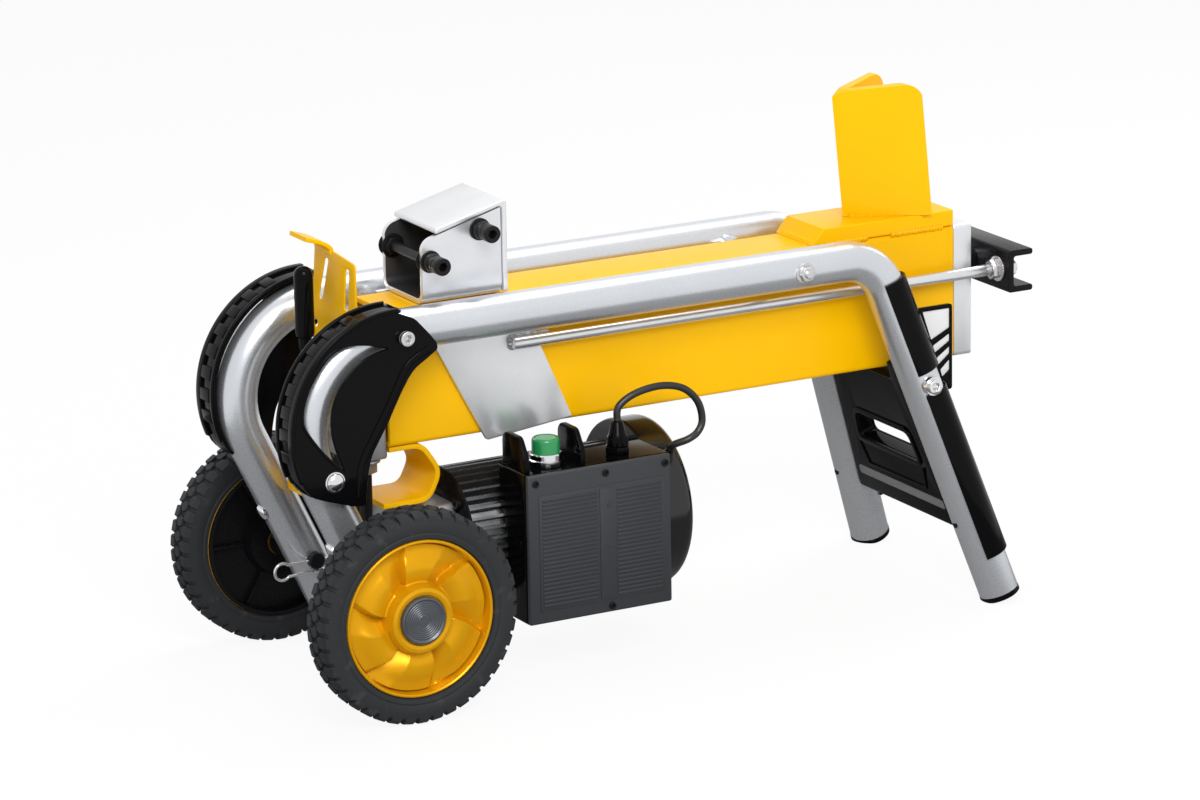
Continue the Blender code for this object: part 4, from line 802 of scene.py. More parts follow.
def hex_nut(bm, start, axis, radius, height, hole=0.0):
    """A hexagon nut or head with its corners turned down, on a thin washer."""
    turn = facing(axis)
    bore = [circle((0, 0), hole, 20)] if hole else []
    washer = height * 0.18
    slab(bm, [hex_outline(radius)] + bore, washer, height, "top", 0.0007, 2, turn, start)
    return slab(bm, [circle((0, 0), radius * 1.28, 28)] + bore, 0.0, washer, "top", 0.0003, 1, turn, start)


def socket_screw(bm, start, axis, radius, height):
    """A round screw head with a hexagon socket."""
    turn = facing(axis)
    rim = circle((0, 0), radius, 32)
    slab(bm, [rim, hex_outline(radius * 0.55)], height * 0.35, height, "top", 0.0005, 2, turn, start)
    return slab(bm, [rim], 0.0, height * 0.36, "top", 0.0003, 1, turn, start)


def dome_screw(bm, start, axis, radius, height):
    """A domed head with a small flat rim."""
    angles = [math.pi * i / 20 for i in range(1, 11)]
    dome = [(radius * math.sin(a), height * (0.25 + 0.75 * math.cos(a))) for a in angles]
    rim = [(radius * 1.12, height * 0.22), (radius * 1.12, 0), (0, 0)]
    return lathe(bm, [(0, height)] + dome + rim, start, axis, 28)


# Places on the machine that several pieces share

def rear_leg(side, z):
    """A point on a rear leg's middle line."""
    share = (RAIL_Z - z) / RAIL_Z
    y = RAIL_Y + (REAR_FOOT[1] - RAIL_Y) * share
    return Vector((REAR_CORNER_X + (REAR_FOOT[0] - REAR_CORNER_X) * share, side * y, z))


def front_leg_x(z):
    """How far along a front leg's middle line is at a height below its arc."""
    angle = math.pi + FRONT_SLANT
    drop = RAIL_Z - FRONT_ARC_RADIUS + FRONT_ARC_RADIUS * math.sin(angle) - z
    return FRONT_ARC_X + FRONT_ARC_RADIUS * math.cos(angle) + drop * math.tan(FRONT_SLANT)


def leg_plane():
    """Axes of the plane through both rear legs: across, up the slope, and out of it to the back."""
    upward = Vector((REAR_CORNER_X - REAR_FOOT[0], 0, RAIL_Z)).normalized()
    outward = Vector((0, 1, 0)).cross(upward)
    return Matrix((Vector((0, 1, 0)), upward, outward)).transposed()


def rail_route(side):
    """The middle line of a rail, from the end of the front leg to the end of the rear leg."""
    foot = Vector((front_leg_x(FRONT_LEG_END_Z), side * RAIL_Y, FRONT_LEG_END_Z))
    centre = (FRONT_ARC_X, RAIL_Z - FRONT_ARC_RADIUS)
    bend = [Vector((x, side * RAIL_Y, z))
            for x, z in arc(centre, FRONT_ARC_RADIUS, 180 + math.degrees(FRONT_SLANT), 90, 40)]
    route = [foot.lerp(bend[0], i / 8) for i in range(8)] + bend
    along = Vector((1, 0, 0))
    corner = rear_leg(side, RAIL_Z)
    down = (rear_leg(side, 0.0) - corner).normalized()
    turn = along.angle(down)
    middle = corner + (down - along).normalized() * REAR_BEND_RADIUS / math.cos(turn / 2)
    start = corner - along * REAR_BEND_RADIUS * math.tan(turn / 2)
    for step in range(21):
        swing = Matrix.Rotation(turn * step / 20, 3, along.cross(down))
        route.append(middle + swing @ (start - middle))
    return route + [rear_leg(side, REAR_TUBE_END_Z)]


def cut(bm, point, normal):
    """Cut away what lies on a plane's outer side, and close the cut."""
    everything = bm.verts[:] + bm.edges[:] + bm.faces[:]
    bmesh.ops.bisect_plane(bm, geom=everything, plane_co=point, plane_no=normal, clear_outer=True)
    bmesh.ops.holes_fill(bm, edges=[e for e in bm.edges if e.is_boundary])
    return bm


def trim(bm, points):
    """Cut away what lies above a run of points in X and Z that bends only downward."""
    for (x0, z0), (x1, z1) in zip(points, points[1:]):
        cut(bm, (x0, 0, z0), Vector((z0 - z1, 0, x1 - x0)).normalized())
    return bm


# Pieces

def make_beam():
    """Beam, end plate and saddle with their welds."""
    z0, z1 = BEAM_Z
    outer = [(-BEAM_HALF, z0), (BEAM_HALF, z0), (BEAM_HALF, z1), (-BEAM_HALF, z1)]
    inner = [(math.copysign(BEAM_HALF - BEAM_WALL, y), z0 + BEAM_WALL if z == z0 else z1 - BEAM_WALL)
             for y, z in outer]
    walls = [softened(outer, BEAM_CORNER, 6), softened(inner, BEAM_INNER_CORNER, 3)]
    piece("beam", slab(bmesh.new(), walls, 0.0, BEAM_LENGTH, "end", 0.0006), YELLOW, ["main_beam"])
    plate = [softened(outer, END_PLATE_CORNER, 4), circle((0, ROD_Z), END_PLATE_HOLE, 36)]
    piece("end_plate", slab(bmesh.new(), plate, *END_PLATE_X, "end", 0.0012, 2), ZINC, ["beam_end_plate"])
    x0, x1 = SADDLE_X
    low, high = SADDLE_Z
    outline = [(x0, low), (x1, low), (x1, high), (x0 + SADDLE_CHAMFER, high)]
    bm = slab(bmesh.new(), [outline], -BEAM_HALF, BEAM_HALF, "side", 0.0012, 2)
    piece("saddle", bm, YELLOW, ["wedge_saddle"])
    welds = bmesh.new()
    for side in SIDES.values():
        y = side * (BEAM_HALF - SADDLE_WELD_INSET)
        for start, end in SADDLE_WELDS_X:
            bead(welds, (start, y, low), (end, y, low))
        ends = [(x, side * across, high) for x, across in WEDGE_WELD]
        bead(welds, *ends, WEDGE_WELD_RADIUS)
    ends = [(CHAMFER_WELD_X, y, low + SADDLE_WELD_INSET) for y in (-CHAMFER_WELD_HALF, CHAMFER_WELD_HALF)]
    bead(welds, *ends, CHAMFER_WELD_RADIUS)
    piece("saddle_welds", welds, WELD_YELLOW)


def make_wedge():
    """The raked V-shaped wedge, its blades ground at the edge and rounded at their top rear corners."""
    edge, back = WEDGE_X
    slope = WEDGE_HALF / (back - edge)
    inner_edge = edge + WEDGE_PLATE / math.sin(math.atan(slope))
    inner_half = (back - inner_edge) * slope
    ground_x, ground_y = edge + WEDGE_GROUND[0], WEDGE_GROUND[1]
    outline = [(back, -WEDGE_HALF), (back, -inner_half), (inner_edge, 0), (back, inner_half),
               (back, WEDGE_HALF), (ground_x, ground_y), (edge, 0), (ground_x, -ground_y)]
    low, high = WEDGE_Z
    bm = bmesh.new()
    bottom = [bm.verts.new((x, y, low)) for x, y in outline]
    top = [bm.verts.new((x - WEDGE_RAKE * (high - low), y, high)) for x, y in outline]
    bm.faces.new(bottom)
    bm.faces.new(top)
    for i in range(len(outline)):
        bm.faces.new((bottom[i - 1], bottom[i], top[i], top[i - 1]))
    x, z = WEDGE_CROWN[-1]
    trim(bm, list(WEDGE_CROWN[:-1]) + arc((x, z - WEDGE_CROWN_RADIUS), WEDGE_CROWN_RADIUS, 90, 0, 9))
    sharp = [e for e in bm.edges if len(e.link_faces) == 2 and e.calc_face_angle() > WEDGE_SHARP]
    bmesh.ops.bevel(bm, geom=sharp, offset=WEDGE_BEVEL, segments=2, profile=0.5, affect="EDGES",
                    clamp_overlap=True)
    piece("wedge", bm, YELLOW, ["splitting_wedge"], angle=22)


def make_rail(label, side):
    """A bent tube with its foot cap, stud and bolts."""
    route = rail_route(side)
    outer, inner = (circle((0, 0), r, TUBE_SIDES) for r in (TUBE_RADIUS, TUBE_RADIUS - TUBE_WALL))
    bm = sweep(bmesh.new(), route, outer, caps=False)
    add(bm, sweep(bmesh.new(), route[:4], inner))
    slab(bm, [outer, inner], -0.0012, 0.0004, "top", 0.0004, 1, facing(route[1] - route[0]), route[0])
    piece(label + "_tube", bm, SILVER, [label + "_rail"])
    start, end = (rear_leg(side, z) for z in FOOT_CAP_Z)
    r, top = FOOT_CAP_RADIUS, (end - start).length
    profile = [(0, 0), (r - 0.004, 0), (r - 0.001, 0.0004), (r, 0.0014), (r, top - 0.0004), (r - 0.0004, top),
               (0, top)]
    bm = cut(lathe(bmesh.new(), profile, start, end - start, 48), (0, 0, FOOT_GROUND_Z), (0, 0, -1))
    piece(label + "_foot", bm, GLOSS_BLACK, [label + "_foot_cap"])
    front = Vector((-math.cos(FRONT_SLANT), 0, -math.sin(FRONT_SLANT)))
    seat = Vector((front_leg_x(LEG_STUD_Z), side * RAIL_Y, LEG_STUD_Z)) + front * (TUBE_RADIUS - 0.0008)
    piece(label + "_leg_stud", dome_screw(bmesh.new(), seat, front, *LEG_STUD), CHROME)
    make_rail_bolts(label, side)


def make_rail_bolts(label, side):
    """The bolts through a rail and a rear leg, with spacers and washers."""
    outward = Vector((0, side, 0))
    for end, x in RAIL_BOLT_X.items():
        inner = BLOCK_HALF if end == "front" else BEAM_HALF
        middle = Vector((x, 0, RAIL_Z))
        bm = pin(bmesh.new(), RAIL_BOLT_SPACER, inner, RAIL_Y - TUBE_RADIUS + 0.002, middle, outward, 32)
        if end == "front":
            socket_screw(bm, middle + outward * (GUARD_Y[1] + 0.0012), outward, *RAIL_BOLT_SCREW)
        else:
            seat = middle + outward * (RAIL_Y + TUBE_RADIUS - 0.0004)
            hex_nut(bm, seat, outward, *RAIL_BOLT_NUT)
            lathe(bm, RAIL_BOLT_END, seat, outward, 20)
        piece(f"{label}_{end}_bolt", bm, FASTENER, [f"{label}_{end}_rail_bolt"])
    leg = rear_leg(side, LEG_BOLT_Z)
    start = leg + outward * (TUBE_RADIUS - LEG_SLEEVE_SUNK)
    bm = lathe(bmesh.new(), LEG_SLEEVE, start, outward, 32)
    socket_screw(bm, start + outward * LEG_SCREW_OUT, outward, *LEG_SCREW)
    low, high = (abs(leg.y) - TUBE_RADIUS + reach for reach in LEG_PIN_REACH)
    pin(bm, LEG_PIN_RADIUS, low, high, (leg.x, 0, leg.z), outward, 20)
    piece(label + "_leg_fixing", bm, CHROME, [label + "_leg_bolt"])


def make_guard(label, side):
    """A front guard: a D-shaped plate with a crescent window, a ridged wall, rims and a stud."""
    edge = list(GUARD_EDGE)
    edge[GUARD_CURVE] = smooth_line(GUARD_EDGE[GUARD_CURVE], 4)
    outline = softened(arc(GUARD_CENTRE, GUARD_RADIUS, *GUARD_ANGLES, 60) + edge, GUARD_CORNER, 3)
    window = smooth_line(WINDOW_OUTER, 4)
    window += smooth_line((WINDOW_OUTER[-1],) + WINDOW_INNER + (WINDOW_OUTER[0],), 4)[1:-1]
    bm = slab(bmesh.new(), [outline, window], *span(side, *GUARD_Y), "side", 0.0012, 3)
    first, last = GUARD_WALL_ANGLES
    tail = Vector(GUARD_EDGE[0])
    inward = (Vector(GUARD_CENTRE) - tail).normalized()
    wall = arc(GUARD_CENTRE, GUARD_RADIUS - GAP, first, last, 60)
    wall += [tuple(tail), tuple(tail + inward * GUARD_WALL_END)]
    wall += arc(GUARD_CENTRE, GUARD_RADIUS - GUARD_WALL, last, first, 60)
    slab(bm, [wall], *span(side, *GUARD_WALL_Y), "side", 0.0010, 2)
    rim = curved_strip(GUARD_CENTRE, GUARD_RIM_RADII, *GUARD_RIM_ANGLES, 64)
    for across in GUARD_RIMS_Y:
        slab(bm, [rim], *span(side, *across), "side", 0.0014, 3)
    low, high = BUMP_ANGLES
    for index in range(GRIP_BUMPS):
        angle = math.radians(low + (high - low) * index / (GRIP_BUMPS - 1))
        out = Vector((math.cos(angle), 0, math.sin(angle)))
        middle = Vector((GUARD_CENTRE[0], side * BUMP_Y, GUARD_CENTRE[1])) + out * (GUARD_RADIUS - 0.0002)
        turn = Matrix.Rotation(math.pi / 2 - angle, 3, "Y")
        block(bm, middle - BUMP_HALF, middle + BUMP_HALF, 0.0018, 4, turn)
    y = side * (GUARD_Y[1] - 0.0006)
    centre = Vector((GUARD_CENTRE[0], y, GUARD_CENTRE[1]))
    lip = smooth_route([(x, y, z) for x, z in WINDOW_OUTER[:-1]], 8)
    lip = [p + (p - centre).normalized() * WINDOW_LIP_OUT for p in lip]
    sweep(bm, lip, circle((0, 0), WINDOW_LIP_RADIUS, 10))
    chord = smooth_route([(x, y, z) for x, z in CHORD_RIM], 10)
    sweep(bm, chord, bar_section(*CHORD_RIM_HALF, 0.0018, 4))
    piece(label + "_guard", bm, GLOSS_BLACK, [label + "_front_guard"])
    x, z = GUARD_STUD
    seat = (x, side * (GUARD_Y[1] - 0.0005), z)
    bm = dome_screw(bmesh.new(), seat, (0, side, 0), *GUARD_STUD_HEAD)
    piece(label + "_guard_stud", bm, CHROME)


def spoke_lift(index, turn):
    """How far a point of the rim's profile rises at an angle, which makes the turbine-like spokes."""
    spoke = index - len(RIM_FRONT)
    if not 0 <= spoke < RIM_SPOKE_POINTS:
        return 0.0
    share = spoke / (RIM_SPOKE_POINTS - 1)
    phase = ((turn + RIM_TURN) * RIM_SPOKES / (2 * math.pi) + RIM_SWEEP[0] * share ** RIM_SWEEP[1]) % 1.0
    ramp = min(phase / RIM_RISE, 1.0, (1.0 - phase) / RIM_DROP)
    return RIM_LIFT * ramp * (0.55 + 0.45 * math.sin(math.pi * min(share * 1.15 + 0.1, 1.0)))


def make_wheel(label, side):
    """A tyre with its tread, a rim whose back is covered in black as painted shade, a hub cap, and the axle.
    """
    centre = Vector((AXLE_X, side * WHEEL_Y, WHEEL_RADIUS))
    axis = Vector((0, side, 0))
    body = label + "_wheel"
    profile = list(TYRE_WALL) + [(r, -h) for r, h in reversed(TYRE_WALL)]
    bm = lathe(bmesh.new(), profile, centre, axis, 128, True)
    add_tread(bm, centre, axis)
    piece(label + "_tread_tyre", bm, RUBBER, [label + "_tyre"], body, angle=30)
    radius, height = RIM_SPOKE_START
    spokes = tuple((radius + RIM_SPOKE_STEP * i, height) for i in range(RIM_SPOKE_POINTS))
    bm = lathe(bmesh.new(), RIM_FRONT + spokes + RIM_EDGE + RIM_BACK, centre, axis, 384, True, spoke_lift)
    piece(label + "_spoked_rim", bm, RIM_PAINT, [label + "_rim"], body, angle=30)
    # The rim's back, hub ring and ribs in black: painted shade for the wheel's hollow inside.
    bm = lathe(bmesh.new(), RIM_SHADE_LINER, centre, axis, 96, True)
    lathe(bm, HUB_SHADE_RING, centre, axis, 64, True)
    for rib in range(RIM_SPOKES):
        spin = Matrix.Rotation(2 * math.pi * rib / RIM_SPOKES, 4, "Z")
        place = Matrix.Translation(centre) @ facing(-axis).to_4x4() @ spin
        add(bm, block(bmesh.new(), *RIM_RIB, 0.0008, 2), place)
    piece(label + "_rim_back_shade", bm, BLACK_PAINT, (), body)
    profile = [(0, CAP_FACE), (CAP_GROOVE_START - 0.001, CAP_FACE)]
    for ring in range(CAP_GROOVES):
        start = CAP_GROOVE_START + CAP_GROOVE_STEP * ring
        profile += [(start + out, CAP_FACE + up) for out, up in CAP_GROOVE]
    bm = lathe(bmesh.new(), profile + list(CAP_EDGE), centre, axis, 96)
    piece(label + "_cap", bm, CAP_GREY, [label + "_hub_cap"], body, angle=30)
    make_axle(label, side)


def add_tread(bm, centre, axis):
    """Tread blocks in three staggered rows that wrap over the tyre's shoulders."""
    spin = facing(axis)
    flat, reach, fall = TREAD_SHOULDER
    pitch = 2 * math.pi / TREAD_BLOCKS

    def point(turn, across, sunk):
        radius = TREAD_TOP - fall * max((abs(across) - flat) / reach, 0.0) ** 2 - sunk
        return centre + spin @ Vector((radius * math.cos(turn), radius * math.sin(turn), across))

    rows = [(0.0, TREAD_MIDDLE)]
    rows += [(0.5, [(turn, sign * across) for turn, across in TREAD_SIDE]) for sign in (-1, 1)]
    for k in range(TREAD_BLOCKS):
        for shift, outline in rows:
            middle = pitch * (k + shift)
            spread = sum(across for turn, across in outline) / len(outline)
            levels = [[bm.verts.new(point(middle + pitch * t * along, spread + (a - spread) * across, sunk))
                       for t, a in outline] for sunk, along, across in TREAD_LEVELS]
            for low, high in zip(levels, levels[1:]):
                for i in range(len(outline)):
                    bm.faces.new((low[i - 1], low[i], high[i], high[i - 1]))
            bm.faces.new(levels[0])
            bm.faces.new(levels[-1])


def make_axle(label, side):
    """A stub axle with its collar and spring clip."""
    end, start = WHEEL_Y + WHEEL_HALF - 0.001, AXLE_END_Y
    hub = WHEEL_Y - WHEEL_HALF - GAP
    rail = RAIL_Y + TUBE_RADIUS + GAP
    r, collar = AXLE_RADIUS, AXLE_COLLAR_RADIUS
    profile = [(0, end), (r, end), (r, hub), (collar - 0.0005, hub), (collar, hub - 0.0008),
               (collar, rail + 0.0008), (collar - 0.0005, rail), (r, rail), (r, start + 0.0012),
               (r - 0.0012, start), (0, start)]
    bm = lathe(bmesh.new(), profile, (AXLE_X, 0, WHEEL_RADIUS), (0, side, 0), 40)
    piece(label + "_stub_axle", bm, OXIDE, [label + "_axle"])
    line = list(CLIP_SHANK) + arc(*CLIP_EYE, 28) + list(CLIP_SPRING)
    route = [(AXLE_X + x, side * CLIP_Y, WHEEL_RADIUS + z) for x, z in line]
    piece(label + "_clip", tube(route, CLIP_WIRE, 12), DRAWN_STEEL, [label + "_axle_clip"])


def make_ram():
    """The crosshead and the piston rod."""
    x0, x1 = CROSS_X
    low, high = ROD_Z - CROSS_HALF_HEIGHT, ROD_Z + CROSS_HALF_HEIGHT
    wall = CROSS_WALL
    outline = [(x0, low), (x1, low), (x1, low + wall), (x0 + wall, low + wall), (x0 + wall, high - wall),
               (x1, high - wall), (x1, high), (x0, high)]
    outline = softened(outline, 0.003, 4)
    bm = slab(bmesh.new(), [outline], -CROSS_HALF_WIDTH, CROSS_HALF_WIDTH, "side", 0.0008, 2)
    piece("crosshead_channel", bm, BLACK_PAINT, ["crosshead"], "ram")
    end, r = x0 - GAP, PISTON_ROD_RADIUS
    back, front = PISTON_X
    profile = [(0, end), (r - 0.0005, end), (r, x0 - 0.001), (r, front), (PISTON_RADIUS, front),
               (PISTON_RADIUS, back), (0, back)]
    bm = lathe(bmesh.new(), profile, (0, 0, ROD_Z), (1, 0, 0), 48)
    piece("ram_rod", bm, CHROME, ["piston_rod"], "ram")


def make_drawbar(label, side):
    """A tie rod with its nuts, its side plate and the welds between them."""
    start, end = ROD_X
    r = ROD_RADIUS
    middle = Vector((0, side * ROD_Y, ROD_Z))
    profile = [(0, end), (r - 0.001, end), (r, end - 0.001)]
    for ridge in range(ROD_RIDGES):
        x = end - ROD_RIDGE_START - ROD_RIDGE_STEP * ridge
        profile += [(r, x), (r - 0.0005, x - 0.0009), (r, x - 0.0018)]
    profile += [(r, start + 0.001), (r - 0.001, start), (0, start)]
    bm = lathe(bmesh.new(), profile, middle, (1, 0, 0), 32)
    hex_nut(bm, middle + Vector((CROSS_X[0] + CROSS_WALL + GAP, 0, 0)), (1, 0, 0), *NUT)
    piece(label + "_drawbar", bm, DRAWN_STEEL, [label + "_tie_rod"], "ram", angle=30)
    bm = hex_nut(bmesh.new(), middle + Vector((CROSS_X[0] - GAP, 0, 0)), (-1, 0, 0), *NUT, r + 0.0002)
    piece(label + "_lock_nut", bm, FASTENER, [label + "_tie_nut"], "ram")
    bm = slab(bmesh.new(), [softened(SIDE_PLATE, 0.002, 3)], *span(side, *PLATE_Y), "side", 0.0007, 1)
    piece(label + "_cheek", bm, ZINC, [label + "_side_plate"], "ram")
    welds = bmesh.new()
    y = side * PLATE_Y[1]
    for lift in (-1, 1):
        seat = Vector((start, y + side * 0.0006, ROD_Z + lift * r * 0.9))
        bead(welds, seat - Vector((0.001, 0, 0)), seat + Vector((ROD_WELD_LENGTH, 0, 0)), ROD_WELD_RADIUS)
    bead(welds, (start, y, ROD_Z - r), (start, y, ROD_Z + r), ROD_END_WELD_RADIUS)
    piece(label + "_rod_weld", welds, WELD, (), "ram")


def make_pusher():
    """The pusher's channel, its inside faces in a dark zinc of painted shade, and its bent plate."""
    half, wall, floor = PLATE_Y[1], PUSHER_WALL, PUSHER_FLOOR_Z
    inside = half - wall
    x0, x1 = PUSHER_X
    low_top, high_top = PUSHER_TOP_Z
    corner, bend = PUSHER_BENDS
    top = high_top + PUSHER_SPARE
    outline = [(-half, top)] + arc((corner - half, floor + corner), corner, 180, 270, 8)
    outline += arc((half - corner, floor + corner), corner, 270, 360, 8) + [(half, top), (inside, top)]
    outline += arc((inside - bend, floor + wall + bend), bend, 360, 270, 8)
    outline += arc((bend - inside, floor + wall + bend), bend, 270, 180, 8) + [(-inside, top)]
    bm = slab(bmesh.new(), [outline], x0, x1, "end", 0.0007, 2)
    front = PUSHER_TOP_FRONT_X
    slope = (high_top - low_top) / (x1 - front)
    lean = math.degrees(math.atan(slope))
    shoulder = front - x0
    middle = (front, low_top - PUSHER_TOP_GAP - shoulder * math.sqrt(1 + slope * slope))
    past = (x1 + 0.01, high_top - PUSHER_TOP_GAP + slope * 0.01)
    trim(bm, arc(middle, shoulder, 180, 90 + lean, 6) + [past])
    body = piece("pusher_body", bm, ZINC, ["pusher_channel"], "ram")
    # The inner wall and floor faces of the channel take the dark zinc: painted shade for the shadow inside
    # it.
    body.data.materials.append(SHADED_ZINC)
    for face in body.data.polygons:
        within = abs(face.center.y) < inside + 0.0001 and face.center.z > floor + wall - 0.0001
        if within and abs(face.normal.x) < 0.5:
            face.material_index = 1
    face_x0, face_x1 = x1 + GAP, x1 + GAP + PUSHER_FACE
    under_back = high_top + GAP
    under_front = under_back - slope * (face_x0 - front)
    base = floor + PUSHER_FACE_RISE
    outline = [(face_x1, base), (face_x1, under_back + PUSHER_FACE * 1.05),
               (front, under_front + PUSHER_FACE), (front, under_front), (face_x0, under_back),
               (face_x0, base)]
    outline = softened(outline, PUSHER_FACE_CORNER, 6)
    bm = slab(bmesh.new(), [outline], -PUSHER_TOP_HALF, PUSHER_TOP_HALF, "side", 0.0009, 2)
    piece("pusher_face", bm, ZINC, ["pusher_plate"], "ram")


def make_pusher_bolt(label, x, z):
    """A bolt through both walls of the pusher, with its peg, washer and nuts."""
    half = PLATE_Y[1]
    inside = half - PUSHER_WALL
    inward, outward = Vector((0, 1, 0)), Vector((0, -1, 0))
    middle = Vector((x, 0, z))
    bm = slab(bmesh.new(), [circle((x, z), PUSHER_WASHER, 36)], -half - 0.0022, -half - GAP, "side", 0.0003)
    lathe(bm, PUSHER_PEG, middle + outward * half, outward, 40)
    socket_screw(bm, middle + outward * (half + PUSHER_SCREW_OUT), outward, *PUSHER_SCREW)
    r, end = PUSHER_SHANK[0], half + PUSHER_SHANK[1]
    lathe(bm, [(0, end), (r - 0.001, end), (r, end - 0.001), (r, -half), (0, -half)], middle, inward, 28)
    outer_nut, inner_nut = PUSHER_NUT_HEIGHTS
    for seat, axis, height in ((half + GAP, inward, outer_nut), (GAP - inside, inward, inner_nut),
                               (inside - GAP, outward, inner_nut)):
        hex_nut(bm, middle + inward * seat, axis, PUSHER_NUT_RADIUS, height)
    piece("pusher_screw_" + label, bm, OXIDE, ["pusher_bolt_" + label], "ram")


def make_valve_block():
    """The valve block with a slot for the lever, its screws and the pipe's port."""
    x0, x1 = BLOCK_X
    slot_y, slot_z = BLOCK_SLOT_HALF
    pivot = LEVER_PIVOT[1]
    bm = block(bmesh.new(), (x0, -BLOCK_HALF, BLOCK_Z[0]), (x1, BLOCK_HALF, pivot - slot_z), BLOCK_ROUNDING)
    block(bm, (x0, -BLOCK_HALF, pivot + slot_z), (x1, BLOCK_HALF, BLOCK_Z[1]), BLOCK_ROUNDING)
    for low, high in ((-BLOCK_HALF, -slot_y), (slot_y, BLOCK_HALF)):
        block(bm, (x0, low, pivot - BLOCK_CHEEK_HALF), (x1, high, pivot + BLOCK_CHEEK_HALF), BLOCK_ROUNDING)
    for y, z in BLOCK_SCREWS:
        socket_screw(bm, (x0 + 0.0005, y, z), (-1, 0, 0), *BODY_SCREW)
    hex_nut(bm, (PIPE_ROUTE[0][0], PIPE_Y, BLOCK_Z[0]), (0, 0, -1), *BLOCK_PORT)
    piece("control_block", bm, ALUMINIUM, ["valve_block"])


def make_lever():
    """The bent lever with its grip, and the plate behind it."""
    x, z = LEVER_PIVOT
    line = [(x + LEVER_FOOT, z)] + arc((LEVER_X + LEVER_BEND, z + LEVER_BEND), LEVER_BEND, 270, 180, 14)
    line += [(LEVER_X, LEVER_TOP_Z - drop) for drop in LEVER_SHANK + LEVER_GRIP]
    scales = [LEVER_RADIUS] * (len(line) - len(LEVER_GRIP) - 2) + [GRIP_SHOULDER, GRIP_RADIUS]
    for drop in LEVER_GRIP:
        rise = max(GRIP_DOME[0] - drop, 0) / GRIP_DOME[1]
        scales.append(GRIP_RADIUS * math.sqrt(max(1 - rise ** 2, 0.02)))
    bm = sweep(bmesh.new(), [(a, 0, b) for a, b in line], circle((0, 0), 1.0, 28), scales)
    piece("hand_lever", bm, GLOSS_BLACK, ["control_lever"], "lever")
    outlines = [softened(LEVER_GUARD, 0.005, 4)]
    for foot, head, low, high in LEVER_GUARD_SLOTS:
        slot = [(foot - SLOT_HALF, low), (foot + SLOT_HALF, low), (head + SLOT_HALF, high),
                (head - SLOT_HALF, high)]
        outlines.append(softened(slot, 0.0034, 4))
    outlines.append(circle(*LEVER_GUARD_HOLE, 20))
    bm = slab(bmesh.new(), outlines, *LEVER_GUARD_X, "end", 0.0007, 2)
    sweep(bm, smooth_route(GUARD_LIP, 6), bar_section(*GUARD_LIP_HALF, 0.0015, 3))
    piece("lever_shield", bm, YELLOW, ["lever_guard"])


def make_brackets():
    """The bent bracket under the beam, the plate between the front legs and the oil pipe."""
    path = [(x, 0, z) for x, z in softened_path(BRACKET_PATH, BRACKET_BEND)]
    bm = sweep(bmesh.new(), path, bar_section(BRACKET_HALF, BRACKET_SHEET / 2, 0.0012, 2))
    piece("hanger", bm, YELLOW, ["support_bracket"])
    low, high = (Vector(corner) + Vector((MIDDLE_X, 0, 0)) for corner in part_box("front_cross_plate"))
    piece("cross_plate", block(bmesh.new(), low, high, 0.0016), YELLOW, ["front_cross_plate"])
    route = smooth_route([(x, PIPE_Y, z) for x, z in PIPE_ROUTE], 8)
    piece("oil_pipe", tube(route, PIPE_RADIUS, 24), OXIDE, ["pressure_pipe"])


def make_motor():
    """The finned motor with its end shield, fan cover and pump."""
    outline = []
    for fin in range(MOTOR_FINS):
        for share, radius in MOTOR_FIN:
            angle = 2 * math.pi * (fin + share) / MOTOR_FINS
            outline.append((MOTOR_Y + radius * math.cos(angle), MOTOR_Z + radius * math.sin(angle)))
    bm = slab(bmesh.new(), [outline], *MOTOR_X, "end", 0.0004)
    piece("motor_fins", bm, DARK_FINS, ["motor_housing"], angle=25)
    x = PUMP_X[1] + GAP
    thick = MOTOR_X[0] - GAP - x
    r = SHIELD_RADIUS
    profile = [(SHAFT_BORE, thick), (r - 0.002, thick), (r, thick - 0.001), (r, 0.001), (r - 0.002, 0),
               (SHAFT_BORE, 0)]
    bm = lathe(bmesh.new(), profile, (x, MOTOR_Y, MOTOR_Z), (1, 0, 0), 72, True)
    for y, z in arc((MOTOR_Y, MOTOR_Z), SHIELD_SCREW_RING, 45, 315, 3):
        socket_screw(bm, (x, y, z), (-1, 0, 0), *SHIELD_SCREW)
    piece("motor_shield", bm, BLACK_PAINT, ["motor_flange"])
    make_fan_cover()
    low, high = PUMP_Z
    bm = block(bmesh.new(), (PUMP_X[0], MOTOR_Y - PUMP_HALF, low), (PUMP_X[1], MOTOR_Y + PUMP_HALF, high),
               PUMP_ROUNDING, 4)
    for y in (MOTOR_Y - PUMP_SCREW_Y, MOTOR_Y + PUMP_SCREW_Y):
        for z in (low + PUMP_SCREW_INSET, high - PUMP_SCREW_INSET):
            socket_screw(bm, (PUMP_X[0] + 0.0005, y, z), (-1, 0, 0), *BODY_SCREW)
    piece("gear_pump", bm, ALUMINIUM, ["pump_body"])


